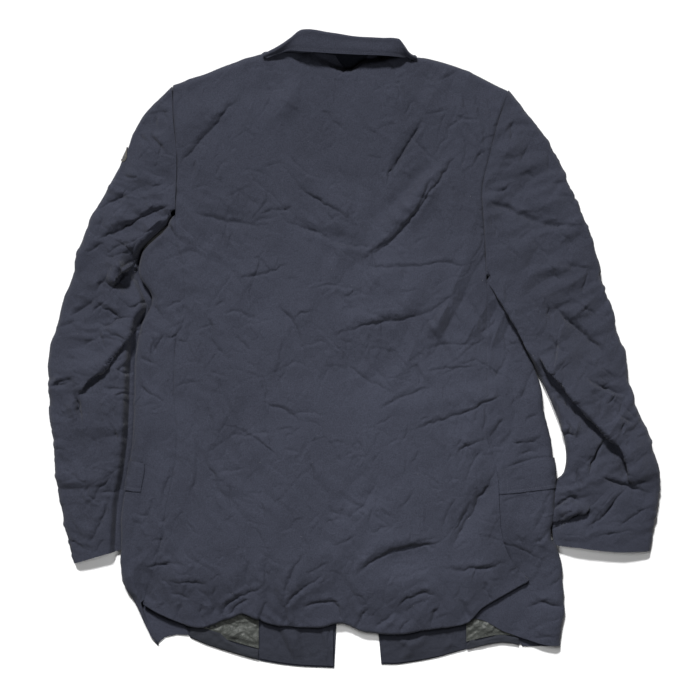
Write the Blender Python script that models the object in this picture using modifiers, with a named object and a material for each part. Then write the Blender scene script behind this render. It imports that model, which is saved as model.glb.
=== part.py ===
"""Dress tunic laid face down on a flat surface, with its back upward.

Sizes are in millimetres. X runs across the garment, Y from the hem to the collar, Z up.
Every cloth piece is a grid moved onto the form of the cloth and given its wall by Solidify.
"""
import math
from typing import NamedTuple

import bmesh
import bpy
from mathutils import Vector

MM = 0.001
# middle of the whole garment in plan, which becomes the origin
MIDDLE_X = -0.728
MIDDLE_Y = -0.828

# ---------------------------------------------------------------- driving sizes
WALL = 2.0
THIN_WALL = 1.4
HALF_WALL = WALL / 2
SEAM_GAP = 0.5
LAYER_GAP = 0.5
ROLL_SEAM_GAP = 0.75

CROWN = 25.0
SIDE_TOP = 20.0
SHOULDER_TOP = 18.0
HEM_TOP = 17.0
ROLL_WIDTH = 9.0
SIDE_EASE = 95.0
SHOULDER_EASE = 70.0
HEM_EASE = 75.0

UNDERLAP = 20.0
UNDERLAP_Z = 7.0
UNDERLAP_DROP = 8.6
HEM_TURN = 24.0

SLEEVE_TUCK_TOP = 7.0
SLEEVE_CROWN = 24.0
SLEEVE_EDGE_FALL = 4.0
CUFF_TOP = 16.0


class Side(NamedTuple):
    """Where the back ends at its two sides, at one height."""
    y: float
    left: float
    right: float


class Edge(NamedTuple):
    """Where the folded side of the body lies, at one height."""
    y: float
    x: float


class Line(NamedTuple):
    """One place on a cut edge that runs across the garment."""
    x: float
    y: float


class Station(NamedTuple):
    """One section of a sleeve, from its outer to its inner edge."""
    v: float
    outer_x: float
    outer_y: float
    inner_x: float
    inner_y: float


class Neck(NamedTuple):
    """One section of the collar: its roll and the edge of its fall."""
    x: float
    roll_y: float
    roll_z: float
    fall_x: float
    fall_y: float
    fall_z: float


class Lift(NamedTuple):
    """A part of the floor layer raised by something lying beneath it."""
    x0: float
    x1: float
    y0: float
    y1: float
    height: float
    ramp: float


class Fold(NamedTuple):
    """A soft ridge (height over 0) or trough along a line."""
    x0: float
    y0: float
    x1: float
    y1: float
    height: float
    width: float


BACK_SIDES = (
    Side(-351, -290, 262),
    Side(-318, -281, 239),
    Side(-292, -271, 216),
    Side(-259, -264, 202),
    Side(-222, -258, 198),
    Side(-180, -250, 196),
    Side(-150, -245, 189),
    Side(-121, -243, 181),
    Side(-57, -247, 181),
    Side(13, -244, 181),
    Side(60, -233, 181),
    Side(100, -233, 180),
    Side(150, -243, 178),
    Side(190, -245, 175),
    Side(217, -244, 174),
    Side(263, -243, 184),
    Side(318, -248, 199),
    Side(361, -250, 217),
)

LEFT_EDGE = (
    Edge(-408, -271),
    Edge(-387, -285),
    Edge(-360, -297),
    Edge(-333, -311),
    Edge(-306, -319),
    Edge(-266, -320),
    Edge(-219, -317),
    Edge(-147, -306),
    Edge(-75, -301),
    Edge(3, -298),
    Edge(39, -288),
    Edge(56, -279),
    Edge(72, -278),
    Edge(104, -294),
    Edge(130, -292),
    Edge(147, -279),
    Edge(159, -264),
    Edge(182, -248),
)

RIGHT_EDGE = (
    Edge(-412, 283),
    Edge(-380, 283),
    Edge(-359, 288),
    Edge(-310, 285),
    Edge(-275, 278),
    Edge(-257, 268),
    Edge(-223, 273),
    Edge(-140, 271),
    Edge(-85, 259),
    Edge(-52, 255),
    Edge(-26, 246),
    Edge(0, 234),
    Edge(26, 223),
    Edge(50, 209),
    Edge(72, 194),
    Edge(90, 185),
)

UNDER_SEAM = (
    Side(-412, -222, 231),
    Side(-300, -258, 230),
    Side(-150, -250, 217),
    Side(0, -239, 187),
    Side(60, -233, 174),
    Side(95, -234, 179),
    Side(181, -243, 181),
)

BACK_TOP = (
    Line(-250, 361),
    Line(-202, 377),
    Line(-158, 393),
    Line(-122, 403),
    Line(-80, 405),
    Line(0, 403),
    Line(60, 403),
    Line(100, 399),
    Line(150, 384),
    Line(217, 353),
)

BACK_HEM = (
    Line(-290, -351),
    Line(-268, -364),
    Line(-223, -382),
    Line(-204, -382),
    Line(-177, -371),
    Line(-150, -364),
    Line(-110, -379),
    Line(-48, -382),
    Line(-20, -375),
    Line(15, -388),
    Line(63, -390),
    Line(110, -384),
    Line(154, -376),
    Line(173, -357),
    Line(215, -332),
    Line(239, -318),
)

SIDE_HEM_RIGHT = (
    Line(161, -371),
    Line(197, -387),
    Line(226, -394),
    Line(263, -402),
    Line(284, -408),
)

FRONT_HEM_LEFT = (
    Line(-274, -405),
    Line(-263, -402),
    Line(-253, -395),
    Line(-234, -395),
    Line(-202, -408),
    Line(-132, -429),
    Line(-83, -437),
    Line(-28, -440),
)

FRONT_HEM_RIGHT = (
    Line(37, -435),
    Line(61, -435),
    Line(111, -427),
    Line(137, -420),
    Line(186, -408),
    Line(208, -406),
    Line(240, -412),
    Line(260, -414),
    Line(283, -410),
)

FRONT_EDGE_LEFT = (Edge(-440, -28), Edge(-200, -16), Edge(60, -10), Edge(230, -46), Edge(398, -112))
FRONT_EDGE_RIGHT = (Edge(-436, 37), Edge(-200, 16), Edge(60, -3), Edge(230, 22), Edge(396, 86))

LEFT_STATIONS = (
    Station(0.000, -249, 359, -246, 186),
    Station(0.083, -290, 318, -276, 160),
    Station(0.167, -313, 265, -301, 130),
    Station(0.250, -340, 214, -299, 92),
    Station(0.333, -369, 163, -284, 53),
    Station(0.417, -384, 107, -276, 15),
    Station(0.500, -402, 51, -271, -24),
    Station(0.583, -417, -5, -269, -64),
    Station(0.667, -419, -64, -268, -103),
    Station(0.750, -414, -122, -267, -142),
    Station(0.833, -408, -180, -265, -181),
    Station(0.917, -398, -238, -264, -221),
    Station(1.000, -386, -295, -264, -260),
)

RIGHT_STATIONS = (
    Station(0.000, 215, 353, 180, 96),
    Station(0.071, 245, 315, 196, 73),
    Station(0.143, 272, 275, 213, 50),
    Station(0.214, 292, 231, 227, 26),
    Station(0.286, 310, 186, 238, 0),
    Station(0.357, 328, 141, 251, -26),
    Station(0.429, 339, 94, 262, -52),
    Station(0.500, 352, 48, 273, -78),
    Station(0.571, 367, 2, 283, -104),
    Station(0.643, 376, -46, 290, -131),
    Station(0.714, 391, -92, 291, -159),
    Station(0.786, 409, -136, 284, -186),
    Station(0.857, 419, -183, 280, -212),
    Station(0.929, 414, -231, 281, -240),
    Station(1.000, 405, -278, 284, -268),
)

COLLAR = (
    Neck(-125, 402, 27, -120, 397, 25),
    Neck(-106, 413, 32, -105, 406, 27),
    Neck(-88, 426, 36, -90, 411, 28),
    Neck(-71, 437, 39, -71, 409, 31),
    Neck(-34, 433, 40, -34, 404, 33),
    Neck(1, 427, 40, 1, 402, 34),
    Neck(35, 424, 39, 35, 401, 33),
    Neck(62, 423, 37, 60, 401, 31),
    Neck(75, 412, 33, 74, 401, 28),
    Neck(89, 400, 27, 85, 395, 25),
)

SLEEVE_LIFTS = (
    Lift(-420, -256, -284, 94, 8.4, 50),
)

FLAP_LIFTS = (
    Lift(-330, -246, -214, -134, 3.1, 24),
    Lift(214, 330, -214, -132, 3.1, 24),
)

LAPEL_LIFTS = (
    Lift(-170, 150, 120, 420, 2.1, 34),
)

FOLDS = (
    Fold(146, 271, 3, 118, 4.0, 17),
    Fold(128, 274, 10, 152, -4.5, 10),
    Fold(-99, 268, 3, 173, 3.5, 16),
    Fold(-224, 186, -110, 169, -3.5, 10),
    Fold(-100, 170, 34, 139, -4.0, 10),
    Fold(136, 77, -41, 30, 4.0, 15),
    Fold(-175, 322, -237, 256, -3.5, 11),
    Fold(95, 314, 41, 223, -2.5, 10),
    Fold(30, -85, 210, -60, 3.0, 14),
    Fold(-180, 48, -90, 5, 3.0, 14),
    Fold(-106, 64, -70, -2, -3.0, 12),
    Fold(197, -165, 129, -279, -5.0, 20),
    Fold(12, -297, 123, -264, -5.0, 17),
    Fold(-126, -329, -184, -372, 3.5, 13),
    Fold(-64, -277, -99, -357, 3.5, 13),
    Fold(-92, -21, -126, -74, -2.5, 14),
)

SLEEVE_FOLDS = (
    Fold(-249, 196, -340, 156, -4.5, 13),
    Fold(-284, 157, -334, 90, 4.0, 13),
    Fold(-355, 42, -310, 30, -3.0, 12),
    Fold(-335, -150, -372, -232, 3.0, 13),
    Fold(180, 204, 306, 164, -4.5, 12),
    Fold(262, 122, 290, 95, 3.5, 12),
    Fold(270, 60, 345, -12, -4.5, 13),
    Fold(345, -120, 322, -172, -5.0, 14),
    Fold(335, -172, 405, -197, -4.0, 12),
)


class Step(NamedTuple):
    """A place on the line where an upper layer of a sleeve ends over a lower one."""
    x: float
    y: float


LEFT_STEP = (Step(-302, 28), Step(-339, -14), Step(-344, -26), Step(-371, -45), Step(-376, -60))
RIGHT_STEP = (Step(268, -26), Step(297, -61), Step(324, -90), Step(350, -115), Step(374, -140), Step(380, -180))
STEP_RISE = 6.0
STEP_FALL = 5.0
STEP_REACH = 46.0


# ---------------------------------------------------------------- measuring tools
def smooth(start, end, value):
    """Ease from 0 at start to 1 at end."""
    t = min(max((value - start) / (end - start), 0.0), 1.0)
    return t * t * (3 - 2 * t)


def lerp(a, b, t):
    return a + (b - a) * t


def reading(rows, key, column, at):
    """Read one column of a table smoothly at a place between its rows."""
    keys = [getattr(row, key) for row in rows]
    values = [getattr(row, column) for row in rows]
    if at <= keys[0]:
        return values[0]
    if at >= keys[-1]:
        return values[-1]
    i = max(k for k in range(len(keys) - 1) if keys[k] <= at)
    span = keys[i + 1] - keys[i]
    t = (at - keys[i]) / span

    def slope(k):
        if k == 0 or k == len(keys) - 1:
            return (values[i + 1] - values[i]) / span
        return (values[k + 1] - values[k - 1]) / (keys[k + 1] - keys[k - 1])

    t2 = t * t
    t3 = t2 * t
    a = (2 * t3 - 3 * t2 + 1) * values[i] + (t3 - 2 * t2 + t) * span * slope(i)
    b = (3 * t2 - 2 * t3) * values[i + 1] + (t3 - t2) * span * slope(i + 1)
    return a + b


def left_edge(y):
    return reading(LEFT_EDGE, "y", "x", y)


def right_edge(y):
    return reading(RIGHT_EDGE, "y", "x", y)


def back_left(y):
    return reading(BACK_SIDES, "y", "left", y)


def back_right(y):
    return reading(BACK_SIDES, "y", "right", y)


def back_top(x):
    return reading(BACK_TOP, "x", "y", x)


def back_hem(x):
    return reading(BACK_HEM, "x", "y", x)


def fold_height(folds, x, y):
    """Sum of the soft ridges and troughs at one place."""
    total = 0.0
    for fold in folds:
        dx = fold.x1 - fold.x0
        dy = fold.y1 - fold.y0
        length = math.hypot(dx, dy)
        along = ((x - fold.x0) * dx + (y - fold.y0) * dy) / length
        across = ((x - fold.x0) * dy - (y - fold.y0) * dx) / length
        taper = smooth(-fold.width, length * 0.3, along) * smooth(length + fold.width, length * 0.7, along)
        total += fold.height * taper * math.exp(-(across / fold.width) ** 2)
    return total


def raised(lifts, x, y):
    """Greatest height of what lies beneath the floor layer at one place."""
    height = 0.0
    for lift in lifts:
        across = smooth(lift.x0 - lift.ramp, lift.x0, x) * smooth(lift.x1 + lift.ramp, lift.x1, x)
        down = smooth(lift.y0 - lift.ramp, lift.y0, y) * smooth(lift.y1 + lift.ramp, lift.y1, y)
        height = max(height, lift.height * across * down)
    return height


def floor_z(x, y):
    """Middle of the wall of the layer that lies on the floor."""
    beneath = raised(SLEEVE_LIFTS, x, y) + raised(FLAP_LIFTS, x, y) + raised(LAPEL_LIFTS, x, y)
    return HALF_WALL + beneath


def step_height(steps, x, y):
    """Rise and fall of a sleeve's top at the edge of an overlapping fold."""
    best = None
    for a, b in zip(steps, steps[1:]):
        dx = b.x - a.x
        dy = b.y - a.y
        length = math.hypot(dx, dy)
        along = ((x - a.x) * dx + (y - a.y) * dy) / length
        clamped = min(max(along, 0.0), length)
        distance = math.hypot(x - a.x - dx * clamped / length, y - a.y - dy * clamped / length)
        side = (x - a.x) * dy - (y - a.y) * dx
        if best is None or distance < abs(best) - 1e-6:
            best = math.copysign(distance, side)
    return best


# ---------------------------------------------------------------- the body's form
def side_ease(x, y):
    """0 at the folded sides and 1 well inside them."""
    if y > 182:
        left = 1.0
    else:
        left = smooth(0, SIDE_EASE, x - left_edge(y))
    if y > 96:
        right = 1.0
    else:
        right = smooth(0, SIDE_EASE, right_edge(y) - x)
    blend_left = smooth(150, 235, y)
    blend_right = smooth(60, 150, y)
    return min(lerp(left, 1.0, blend_left), lerp(right, 1.0, blend_right))


def side_top(x, y):
    """Height of the folded sides, lower where the right sleeve lies over the body."""
    if x < 0:
        return SIDE_TOP
    low = smooth(-75, -30, y) * smooth(150, 80, y)
    return SIDE_TOP - 7.0 * low


def body_top(x, y):
    """Middle of the wall of the layer that lies upward."""
    z = lerp(side_top(x, y), CROWN, side_ease(x, y))
    z = lerp(min(z, SHOULDER_TOP), z, smooth(4, SHOULDER_EASE, back_top(x) - y))
    z = lerp(min(z, HEM_TOP), z, smooth(0, HEM_EASE, y - back_hem(x)))
    hollow = smooth(-112, -70, x) * smooth(84, 50, x) * smooth(378, 398, y)
    z -= 6.0 * hollow
    inner_left = smooth(8, 32, x - left_edge(y)) if y < 182 else 1.0
    inner_right = smooth(8, 32, right_edge(y) - x) if y < 96 else 1.0
    inner = inner_left * inner_right * smooth(6, 26, back_top(x) - y) * smooth(6, 24, y - back_hem(x))
    return z + fold_height(FOLDS, x, y) * inner


def coons(bottom, top, left, right):
    """Surface in plan between four edges, each a function of a share from 0 to 1."""
    p00 = bottom(0.0)
    p10 = bottom(1.0)
    p01 = top(0.0)
    p11 = top(1.0)

    def place(u, v):
        spans = []
        for k in (0, 1):
            across = (1 - v) * bottom(u)[k] + v * top(u)[k]
            down = (1 - u) * left(v)[k] + u * right(v)[k]
            low = (1 - u) * p00[k] + u * p10[k]
            high = (1 - u) * p01[k] + u * p11[k]
            spans.append(across + down - (1 - v) * low - v * high)
        return spans[0], spans[1]

    return place


def span(rows, key, column, low, high):
    """Edge as a function of a share: the key from low to high, with its reading."""
    if key == "x":
        return lambda t: (lerp(low, high, t), reading(rows, key, column, lerp(low, high, t)))
    return lambda t: (reading(rows, key, column, lerp(low, high, t)), lerp(low, high, t))


def inset_edge(edge, dx, dy):
    """The same edge moved across by dx and along by dy."""
    return lambda t: (edge(t)[0] + dx, edge(t)[1] + dy)


# ---------------------------------------------------------------- back
BACK_LEFT_FOOT = -290.0
BACK_RIGHT_FOOT = 239.0
HEM_ROLL = 5.2
HEM_ROWS = 7
BACK_COLUMNS = 25
BACK_ROWS = 29


def hem_roll(x):
    """Radius of the rolled hem: full in the middle, nearly flat over the side panels."""
    middle = smooth(-262, -214, x) * smooth(156, 104, x)
    return lerp(1.7, HEM_ROLL, middle)


def back_plan():
    left = span(BACK_SIDES, "y", "left", -351, 361 - ROLL_WIDTH - SEAM_GAP)
    right = span(BACK_SIDES, "y", "right", -318, 353 - ROLL_WIDTH - SEAM_GAP)
    bottom = span(BACK_HEM, "x", "y", BACK_LEFT_FOOT, BACK_RIGHT_FOOT)
    top = span(BACK_TOP, "x", "y", -250, 217)

    def shoulder(t):
        x, y = top(t)
        neck = smooth(-101, -82, x) * smooth(88, 70, x)
        return x, y - lerp(ROLL_WIDTH + 2 * SEAM_GAP, 1.0, neck)

    return coons(bottom, shoulder, inset_edge(left, SEAM_GAP, 0), inset_edge(right, -SEAM_GAP, 0))


BACK_PLAN = back_plan()


def back_point(i, j):
    """Point of the back: rows from the turned hem up to the shoulders."""
    u = i / BACK_COLUMNS
    foot_x, foot_y = BACK_PLAN(u, 0.0)
    radius = hem_roll(foot_x)
    top_z = body_top(foot_x, foot_y + radius)
    if j < HEM_ROWS:
        turn = min(HEM_TURN, 10 + radius * 3)
        share = j / (HEM_ROWS - 1)
        if j == 0:
            inset = radius + turn
            z = top_z - 2 * radius
        elif j == 1:
            inset = radius + turn * 0.45
            z = top_z - 2 * radius
        else:
            angle = math.pi * (j - 2) / (HEM_ROWS - 3)
            inset = radius * (1 - math.sin(angle))
            z = top_z - radius - radius * math.cos(angle)
        return Vector((foot_x, foot_y + inset, z))
    v = (j - HEM_ROWS + 1) / (BACK_ROWS - HEM_ROWS + 1)
    start = radius / 690.0
    x, y = BACK_PLAN(u, lerp(start, 1.0, v))
    return Vector((x, y, body_top(x, y)))


# ---------------------------------------------------------------- side panels
TOP_STEPS = 4
ROLL_STEPS = 5
UNDER_STEPS = 2
ROLL_END = TOP_STEPS + ROLL_STEPS
SIDE_COLUMNS = ROLL_END + UNDER_STEPS
SIDE_ROWS = 19
VENT_TOP = -128.0
LEFT_PIT = 177.0
RIGHT_PIT = 89.0
UNDERLAP_FOOT_X = 161.0


def under_seam(side, y):
    """Seam beneath the body where a side panel meets its front."""
    return reading(UNDER_SEAM, "y", "left" if side < 0 else "right", y)


def side_seam(side, y):
    """Cut edge of a side panel on top: at the side seam, or under the back beside the vent."""
    lapped = smooth(VENT_TOP - 10, VENT_TOP - 42, y)
    if side < 0:
        return back_left(y) - SEAM_GAP + lapped * UNDERLAP
    inner = lerp(back_right(y), UNDERLAP_FOOT_X, smooth(-150, -372, y))
    return inner + SEAM_GAP - lapped * UNDERLAP * smooth(-372, -150, y)


def side_section(side, f, y):
    """Point of a side panel: f runs along the top, round the fold and back beneath."""
    edge_x = left_edge(y) if side < 0 else right_edge(y)
    seam_x = side_seam(side, y)
    roll = min(ROLL_WIDTH, abs(seam_x - edge_x) * 0.7)
    centre_x = edge_x - side * roll
    high = body_top(centre_x, y)
    low = floor_z(centre_x, y)
    if f <= TOP_STEPS:
        share = f / TOP_STEPS
        x = lerp(seam_x, centre_x, share)
        z = body_top(x, y)
        beside_vent = smooth(VENT_TOP + 16, VENT_TOP - 7, y)
        z -= UNDERLAP_DROP * beside_vent * smooth(1.0, 0.6, share)
        if side > 0:
            z = lerp(z, UNDERLAP_Z, smooth(-236, -330, y) * smooth(1.0, 0.5, share))
        return Vector((x, y, z))
    if f <= ROLL_END:
        angle = math.pi * (f - TOP_STEPS) / ROLL_STEPS
        half = (high - low) / 2
        return Vector((centre_x + side * roll * math.sin(angle), y, low + half + half * math.cos(angle)))
    x = lerp(centre_x, under_seam(side, y), (f - ROLL_END) / UNDER_STEPS)
    return Vector((x, y, floor_z(x, y)))


def side_hem(side, share):
    """Hem of a side panel, from its cut edge on top to its seam beneath."""
    if side < 0:
        return lerp(-343.0, -404.0, smooth(0.36, 0.8, share))
    reach = smooth(0.0, TOP_STEPS / SIDE_COLUMNS, share)
    hem = reading(SIDE_HEM_RIGHT, "x", "y", lerp(161.0, 284.0, reach))
    return lerp(hem, -410.0, smooth(0.4, 0.9, share))


def side_point(side, i, j):
    pit = LEFT_PIT if side < 0 else RIGHT_PIT
    y = lerp(side_hem(side, i / SIDE_COLUMNS), pit, j / SIDE_ROWS)
    return side_section(side, i, y)


# ---------------------------------------------------------------- fronts
FRONT_COLUMNS = 8
FRONT_ROWS = 24
SHOULDER_ROWS = 5
SHOULDER_TURN = 0.94


def front_point(side, i, j):
    """Point of a front: flat on the floor, rolled up over the shoulder at its top."""
    u = i / FRONT_COLUMNS
    if side < 0:
        hem_rows, edge_rows, corner, neck = FRONT_HEM_LEFT, FRONT_EDGE_LEFT, -250.0, -118.0
        pit, back_side, foot_y = LEFT_PIT, back_left, -398.0
    else:
        hem_rows, edge_rows, corner, neck = FRONT_HEM_RIGHT, FRONT_EDGE_RIGHT, 217.0, 92.0
        pit, back_side, foot_y = RIGHT_PIT, back_right, -408.0
    shoulder_y = back_top(corner) - ROLL_WIDTH
    neck_y = back_top(neck) - ROLL_WIDTH

    def outside(t):
        y = lerp(foot_y, shoulder_y, t)
        if y > pit:
            return back_side(y) - side * SEAM_GAP, y
        return under_seam(side, y) - side * 2 * SEAM_GAP, y

    def inside(t):
        y = lerp(hem_rows[-1].y if side < 0 else hem_rows[0].y, neck_y, t)
        return reading(edge_rows, "y", "x", y), y

    def foot(t):
        x = lerp(outside(0.0)[0], inside(0.0)[0], t)
        return x, reading(hem_rows, "x", "y", x)

    def head(t):
        x = lerp(outside(1.0)[0], inside(1.0)[0], t)
        return x, back_top(x) - ROLL_WIDTH

    place = coons(foot, head, outside, inside)
    flat_rows = FRONT_ROWS - SHOULDER_ROWS
    if j <= flat_rows:
        x, y = place(u, j / flat_rows)
        return Vector((x, y, floor_z(x, y)))
    x, y = place(u, 1.0)
    high = body_top(x, y)
    low = floor_z(x, y)
    half = (high - low) / 2
    angle = math.pi * SHOULDER_TURN * (j - flat_rows) / SHOULDER_ROWS
    return Vector((x, y + ROLL_WIDTH * math.sin(angle), low + half - half * math.cos(angle)))


# ---------------------------------------------------------------- what shows below the hem
def inner_layer_point(hem_rows, x0, x1, margin, top_y, bump, columns, rows):
    """Band of facing or lining that lies on the inner face of a front."""
    def point(i, j):
        u = i / columns
        v = j / rows
        x = lerp(x0, x1, u)
        foot = reading(hem_rows, "x", "y", x) + margin
        y = lerp(foot, top_y, v)
        z = floor_z(x, y) + HALF_WALL + LAYER_GAP + THIN_WALL / 2
        wave = math.sin(x * 0.21 + y * 0.13) * 0.5 + math.sin(x * 0.09 - y * 0.17 + 1.3) * 0.5
        z += bump * max(wave, 0.0) * smooth(0.0, 0.25, v) * smooth(1.0, 0.55, v)
        return Vector((x, y, z))
    return point


# ---------------------------------------------------------------- sleeves
SLEEVE_ROWS = 19
SLEEVE_TOP_STEPS = 8
SLEEVE_ROLL_STEPS = 6
SLEEVE_FLAT_STEPS = 3
SLEEVE_SEAM = {-1: 3.0, 1: -14.0}
SLEEVE_TOP_LENGTH = 120.0
OUTER_ROLL_LENGTH = 28.0
CUFF_BOW = 5.0
PIT_SPACE = 3.4


def armhole(side, t):
    """Armhole edge from the shoulder (0) to the underarm (1)."""
    if side < 0:
        y = lerp(361 - 2, LEFT_PIT + 5, t)
        return back_left(y) - SEAM_GAP, y
    y = lerp(353, RIGHT_PIT + 9, t)
    return back_right(y) + 2 * SEAM_GAP, y


def sleeve_plan(side, u, v):
    """Place in plan on a sleeve: u from the outer to the inner edge, v from armhole to cuff."""
    rows = LEFT_STATIONS if side < 0 else RIGHT_STATIONS
    outer = (reading(rows, "v", "outer_x", v), reading(rows, "v", "outer_y", v))
    inner = (reading(rows, "v", "inner_x", v), reading(rows, "v", "inner_y", v))
    start = rows[0]
    fade = smooth(0.3, 0.0, v)
    hole = armhole(side, u)
    x = lerp(outer[0], inner[0], u) + fade * (hole[0] - lerp(start.outer_x, start.inner_x, u))
    y = lerp(outer[1], inner[1], u) + fade * (hole[1] - lerp(start.outer_y, start.inner_y, u))
    if side > 0:
        if -60 < y < RIGHT_PIT + 12:
            x = max(x, right_edge(y) + PIT_SPACE * smooth(-60, -40, y))
        y -= CUFF_BOW * smooth(0.85, 1.0, v) * math.sin(math.pi * u)
    elif y < LEFT_PIT + 12:
        beside = left_edge(y) - PIT_SPACE
        x = min(x, beside) if y > 100 else lerp(x, min(x, beside), smooth(84, 100, y))
    return x, y


def sleeve_top(side, u, v):
    """Height of the upward wall of a sleeve."""
    x, y = sleeve_plan(side, u, v)
    hole_x, hole_y = armhole(side, u)
    at_hole = body_top(hole_x + side * -1.0, hole_y)
    level = lerp(SLEEVE_CROWN, CUFF_TOP, smooth(0.62, 1.0, v))
    rounding = 1 - abs(2 * u - 1) ** 3
    z = lerp(level - SLEEVE_EDGE_FALL, level, rounding)
    z = lerp(at_hole, z, smooth(0.0, 0.3, v))
    inner = smooth(0.0, 0.12, u) * smooth(1.0, 0.88, u) * smooth(0.0, 0.06, v)
    z += fold_height(SLEEVE_FOLDS, x, y) * inner
    steps = LEFT_STEP if side < 0 else RIGHT_STEP
    distance = step_height(steps, x, y) * (1 if side < 0 else -1)
    if distance > 0:
        change = STEP_RISE * math.exp(-(distance / STEP_REACH) ** 2)
    else:
        change = -STEP_FALL * math.exp(-(distance / STEP_REACH) ** 2)
    z += change * smooth(0, 4, abs(distance)) * inner
    if side < 0:
        tuck = smooth(-34, -6, x - left_edge(y)) * smooth(122, 100, y)
        z = lerp(z, SLEEVE_TUCK_TOP - HALF_WALL, tuck)
    else:
        z += 4.0 * smooth(0.35, 1.0, u) * smooth(-118, -60, y) * smooth(0.0, 0.1, v)
    return z


def sleeve_section(side, part, share, v):
    """Point round a sleeve. part is top, outer, floor or inner; share runs within it."""
    outer_x, outer_y = sleeve_plan(side, 0.0, v)
    inner_x, inner_y = sleeve_plan(side, 1.0, v)
    width = math.hypot(outer_x - inner_x, outer_y - inner_y)
    roll = ROLL_WIDTH / width
    inner_roll = min(ROLL_WIDTH, 2.4 + 140 * v)
    if side < 0:
        inner_roll = lerp(inner_roll, 2.4, smooth(125, 96, inner_y))
    inner_roll /= width
    if part in ("top", "floor"):
        u = lerp(roll, 1.0 - inner_roll, share)
        x, y = sleeve_plan(side, u, v)
        return Vector((x, y, sleeve_top(side, u, v) if part == "top" else HALF_WALL))
    u0 = roll if part == "outer" else 1.0 - inner_roll
    size = -roll if part == "outer" else inner_roll
    high = sleeve_top(side, u0, v)
    half = (high - HALF_WALL) / 2
    angle = math.pi * share
    x, y = sleeve_plan(side, u0 + size * math.sin(angle), v)
    return Vector((x, y, HALF_WALL + half + half * math.cos(angle)))


def inner_seam_gap(side, v):
    """Share of the inner roll left open at the seam between the two halves."""
    high = sleeve_top(side, 0.97, v)
    return ROLL_SEAM_GAP / (math.pi * 0.5 * (high - HALF_WALL) * 0.5 + 2)


def upper_seam_share(side, half, v):
    """Where a half of the sleeve ends at the upper seam: 1 is the lower half, -1 the upper."""
    opening = half * ROLL_SEAM_GAP * lerp(1.0, 1.9, smooth(0.6, 1.0, v))
    return (SLEEVE_SEAM[side] - opening) / (SLEEVE_TOP_LENGTH if side < 0 else OUTER_ROLL_LENGTH)


def undersleeve_point(side):
    """Upward half: from the seam near the outer edge over to the middle of the inner edge."""
    half_roll = SLEEVE_ROLL_STEPS // 2
    rounding = 0 if side < 0 else 3
    columns = rounding + SLEEVE_TOP_STEPS + half_roll

    def point(i, j):
        v = j / SLEEVE_ROWS
        seam = upper_seam_share(side, -1, v)
        if i < rounding:
            return sleeve_section(side, "outer", lerp(-seam, 0.0, i / rounding), v)
        k = i - rounding
        if k <= SLEEVE_TOP_STEPS:
            return sleeve_section(side, "top", lerp(max(seam, 0.0), 1.0, k / SLEEVE_TOP_STEPS), v)
        share = (0.5 - inner_seam_gap(side, v)) * (k - SLEEVE_TOP_STEPS) / half_roll
        return sleeve_section(side, "inner", share, v)
    return point, columns


def topsleeve_point(side):
    """Lower half: from the upper seam round the outer edge and the floor to the inner edge."""
    half_roll = SLEEVE_ROLL_STEPS // 2
    rounding = SLEEVE_ROLL_STEPS if side < 0 else half_roll
    columns = rounding + SLEEVE_FLAT_STEPS + half_roll

    def point(i, j):
        v = j / SLEEVE_ROWS
        seam = upper_seam_share(side, 1, v)
        if i == 0 and seam > 0:
            return sleeve_section(side, "top", seam, v)
        if i <= rounding:
            return sleeve_section(side, "outer", lerp(max(-seam, 0.0), 1.0, i / rounding), v)
        if i <= rounding + SLEEVE_FLAT_STEPS:
            return sleeve_section(side, "floor", (i - rounding) / SLEEVE_FLAT_STEPS, v)
        share = 1.0 - (0.5 - inner_seam_gap(side, v)) * (i - rounding - SLEEVE_FLAT_STEPS) / half_roll
        return sleeve_section(side, "inner", share, v)
    return point, columns


# ---------------------------------------------------------------- collar
COLLAR_ROWS = 22
STAND_STEPS = 3
COLLAR_ROLL_STEPS = 4
FALL_STEPS = 2
COLLAR_ROLL = 2.6


def collar_point(i, j):
    """Point of the collar: up the stand, round the roll and down the fall."""
    v = j / COLLAR_ROWS
    x = lerp(COLLAR[0].x, COLLAR[-1].x, v)
    roll_y = reading(COLLAR, "x", "roll_y", x)
    roll_z = reading(COLLAR, "x", "roll_z", x)
    fall_x = reading(COLLAR, "x", "fall_x", x)
    fall_y = reading(COLLAR, "x", "fall_y", x)
    fall_z = reading(COLLAR, "x", "fall_z", x)
    foot_y = min(back_top(x) + 0.9, roll_y - 2 * COLLAR_ROLL)
    inside = smooth(-122, -98, x) * smooth(88, 68, x)
    foot_z = lerp(SHOULDER_TOP + WALL + LAYER_GAP, body_top(x, back_top(x)) - 1.0, inside)
    top_y = roll_y - COLLAR_ROLL
    lower_z = roll_z - 2 * COLLAR_ROLL
    if i <= STAND_STEPS:
        share = i / STAND_STEPS
        return Vector((x, lerp(foot_y, top_y, share), lerp(foot_z, lower_z, share)))
    if i <= STAND_STEPS + COLLAR_ROLL_STEPS:
        angle = math.pi * (i - STAND_STEPS) / COLLAR_ROLL_STEPS
        y = top_y + COLLAR_ROLL * math.sin(angle)
        z = roll_z - COLLAR_ROLL - COLLAR_ROLL * math.cos(angle)
        return Vector((x, y, z))
    share = (i - STAND_STEPS - COLLAR_ROLL_STEPS) / FALL_STEPS
    return Vector((lerp(x, fall_x, share), lerp(top_y, fall_y, share), lerp(roll_z, fall_z, share)))


# ---------------------------------------------------------------- pieces that lie on a panel
FLAP_ROWS = 3
FLAP_OUT = HALF_WALL + 2 * LAYER_GAP + THIN_WALL / 2
BADGE_RADIUS = 10.5
BADGE_WALL = 1.2
BADGE_STEPS = 8
BADGE_V = 0.165
BADGE_SHARE = 0.40
SLEEVE_LENGTH = 702.0
LAPEL_ROWS = 10
LAPEL_COLUMNS = 4


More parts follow.
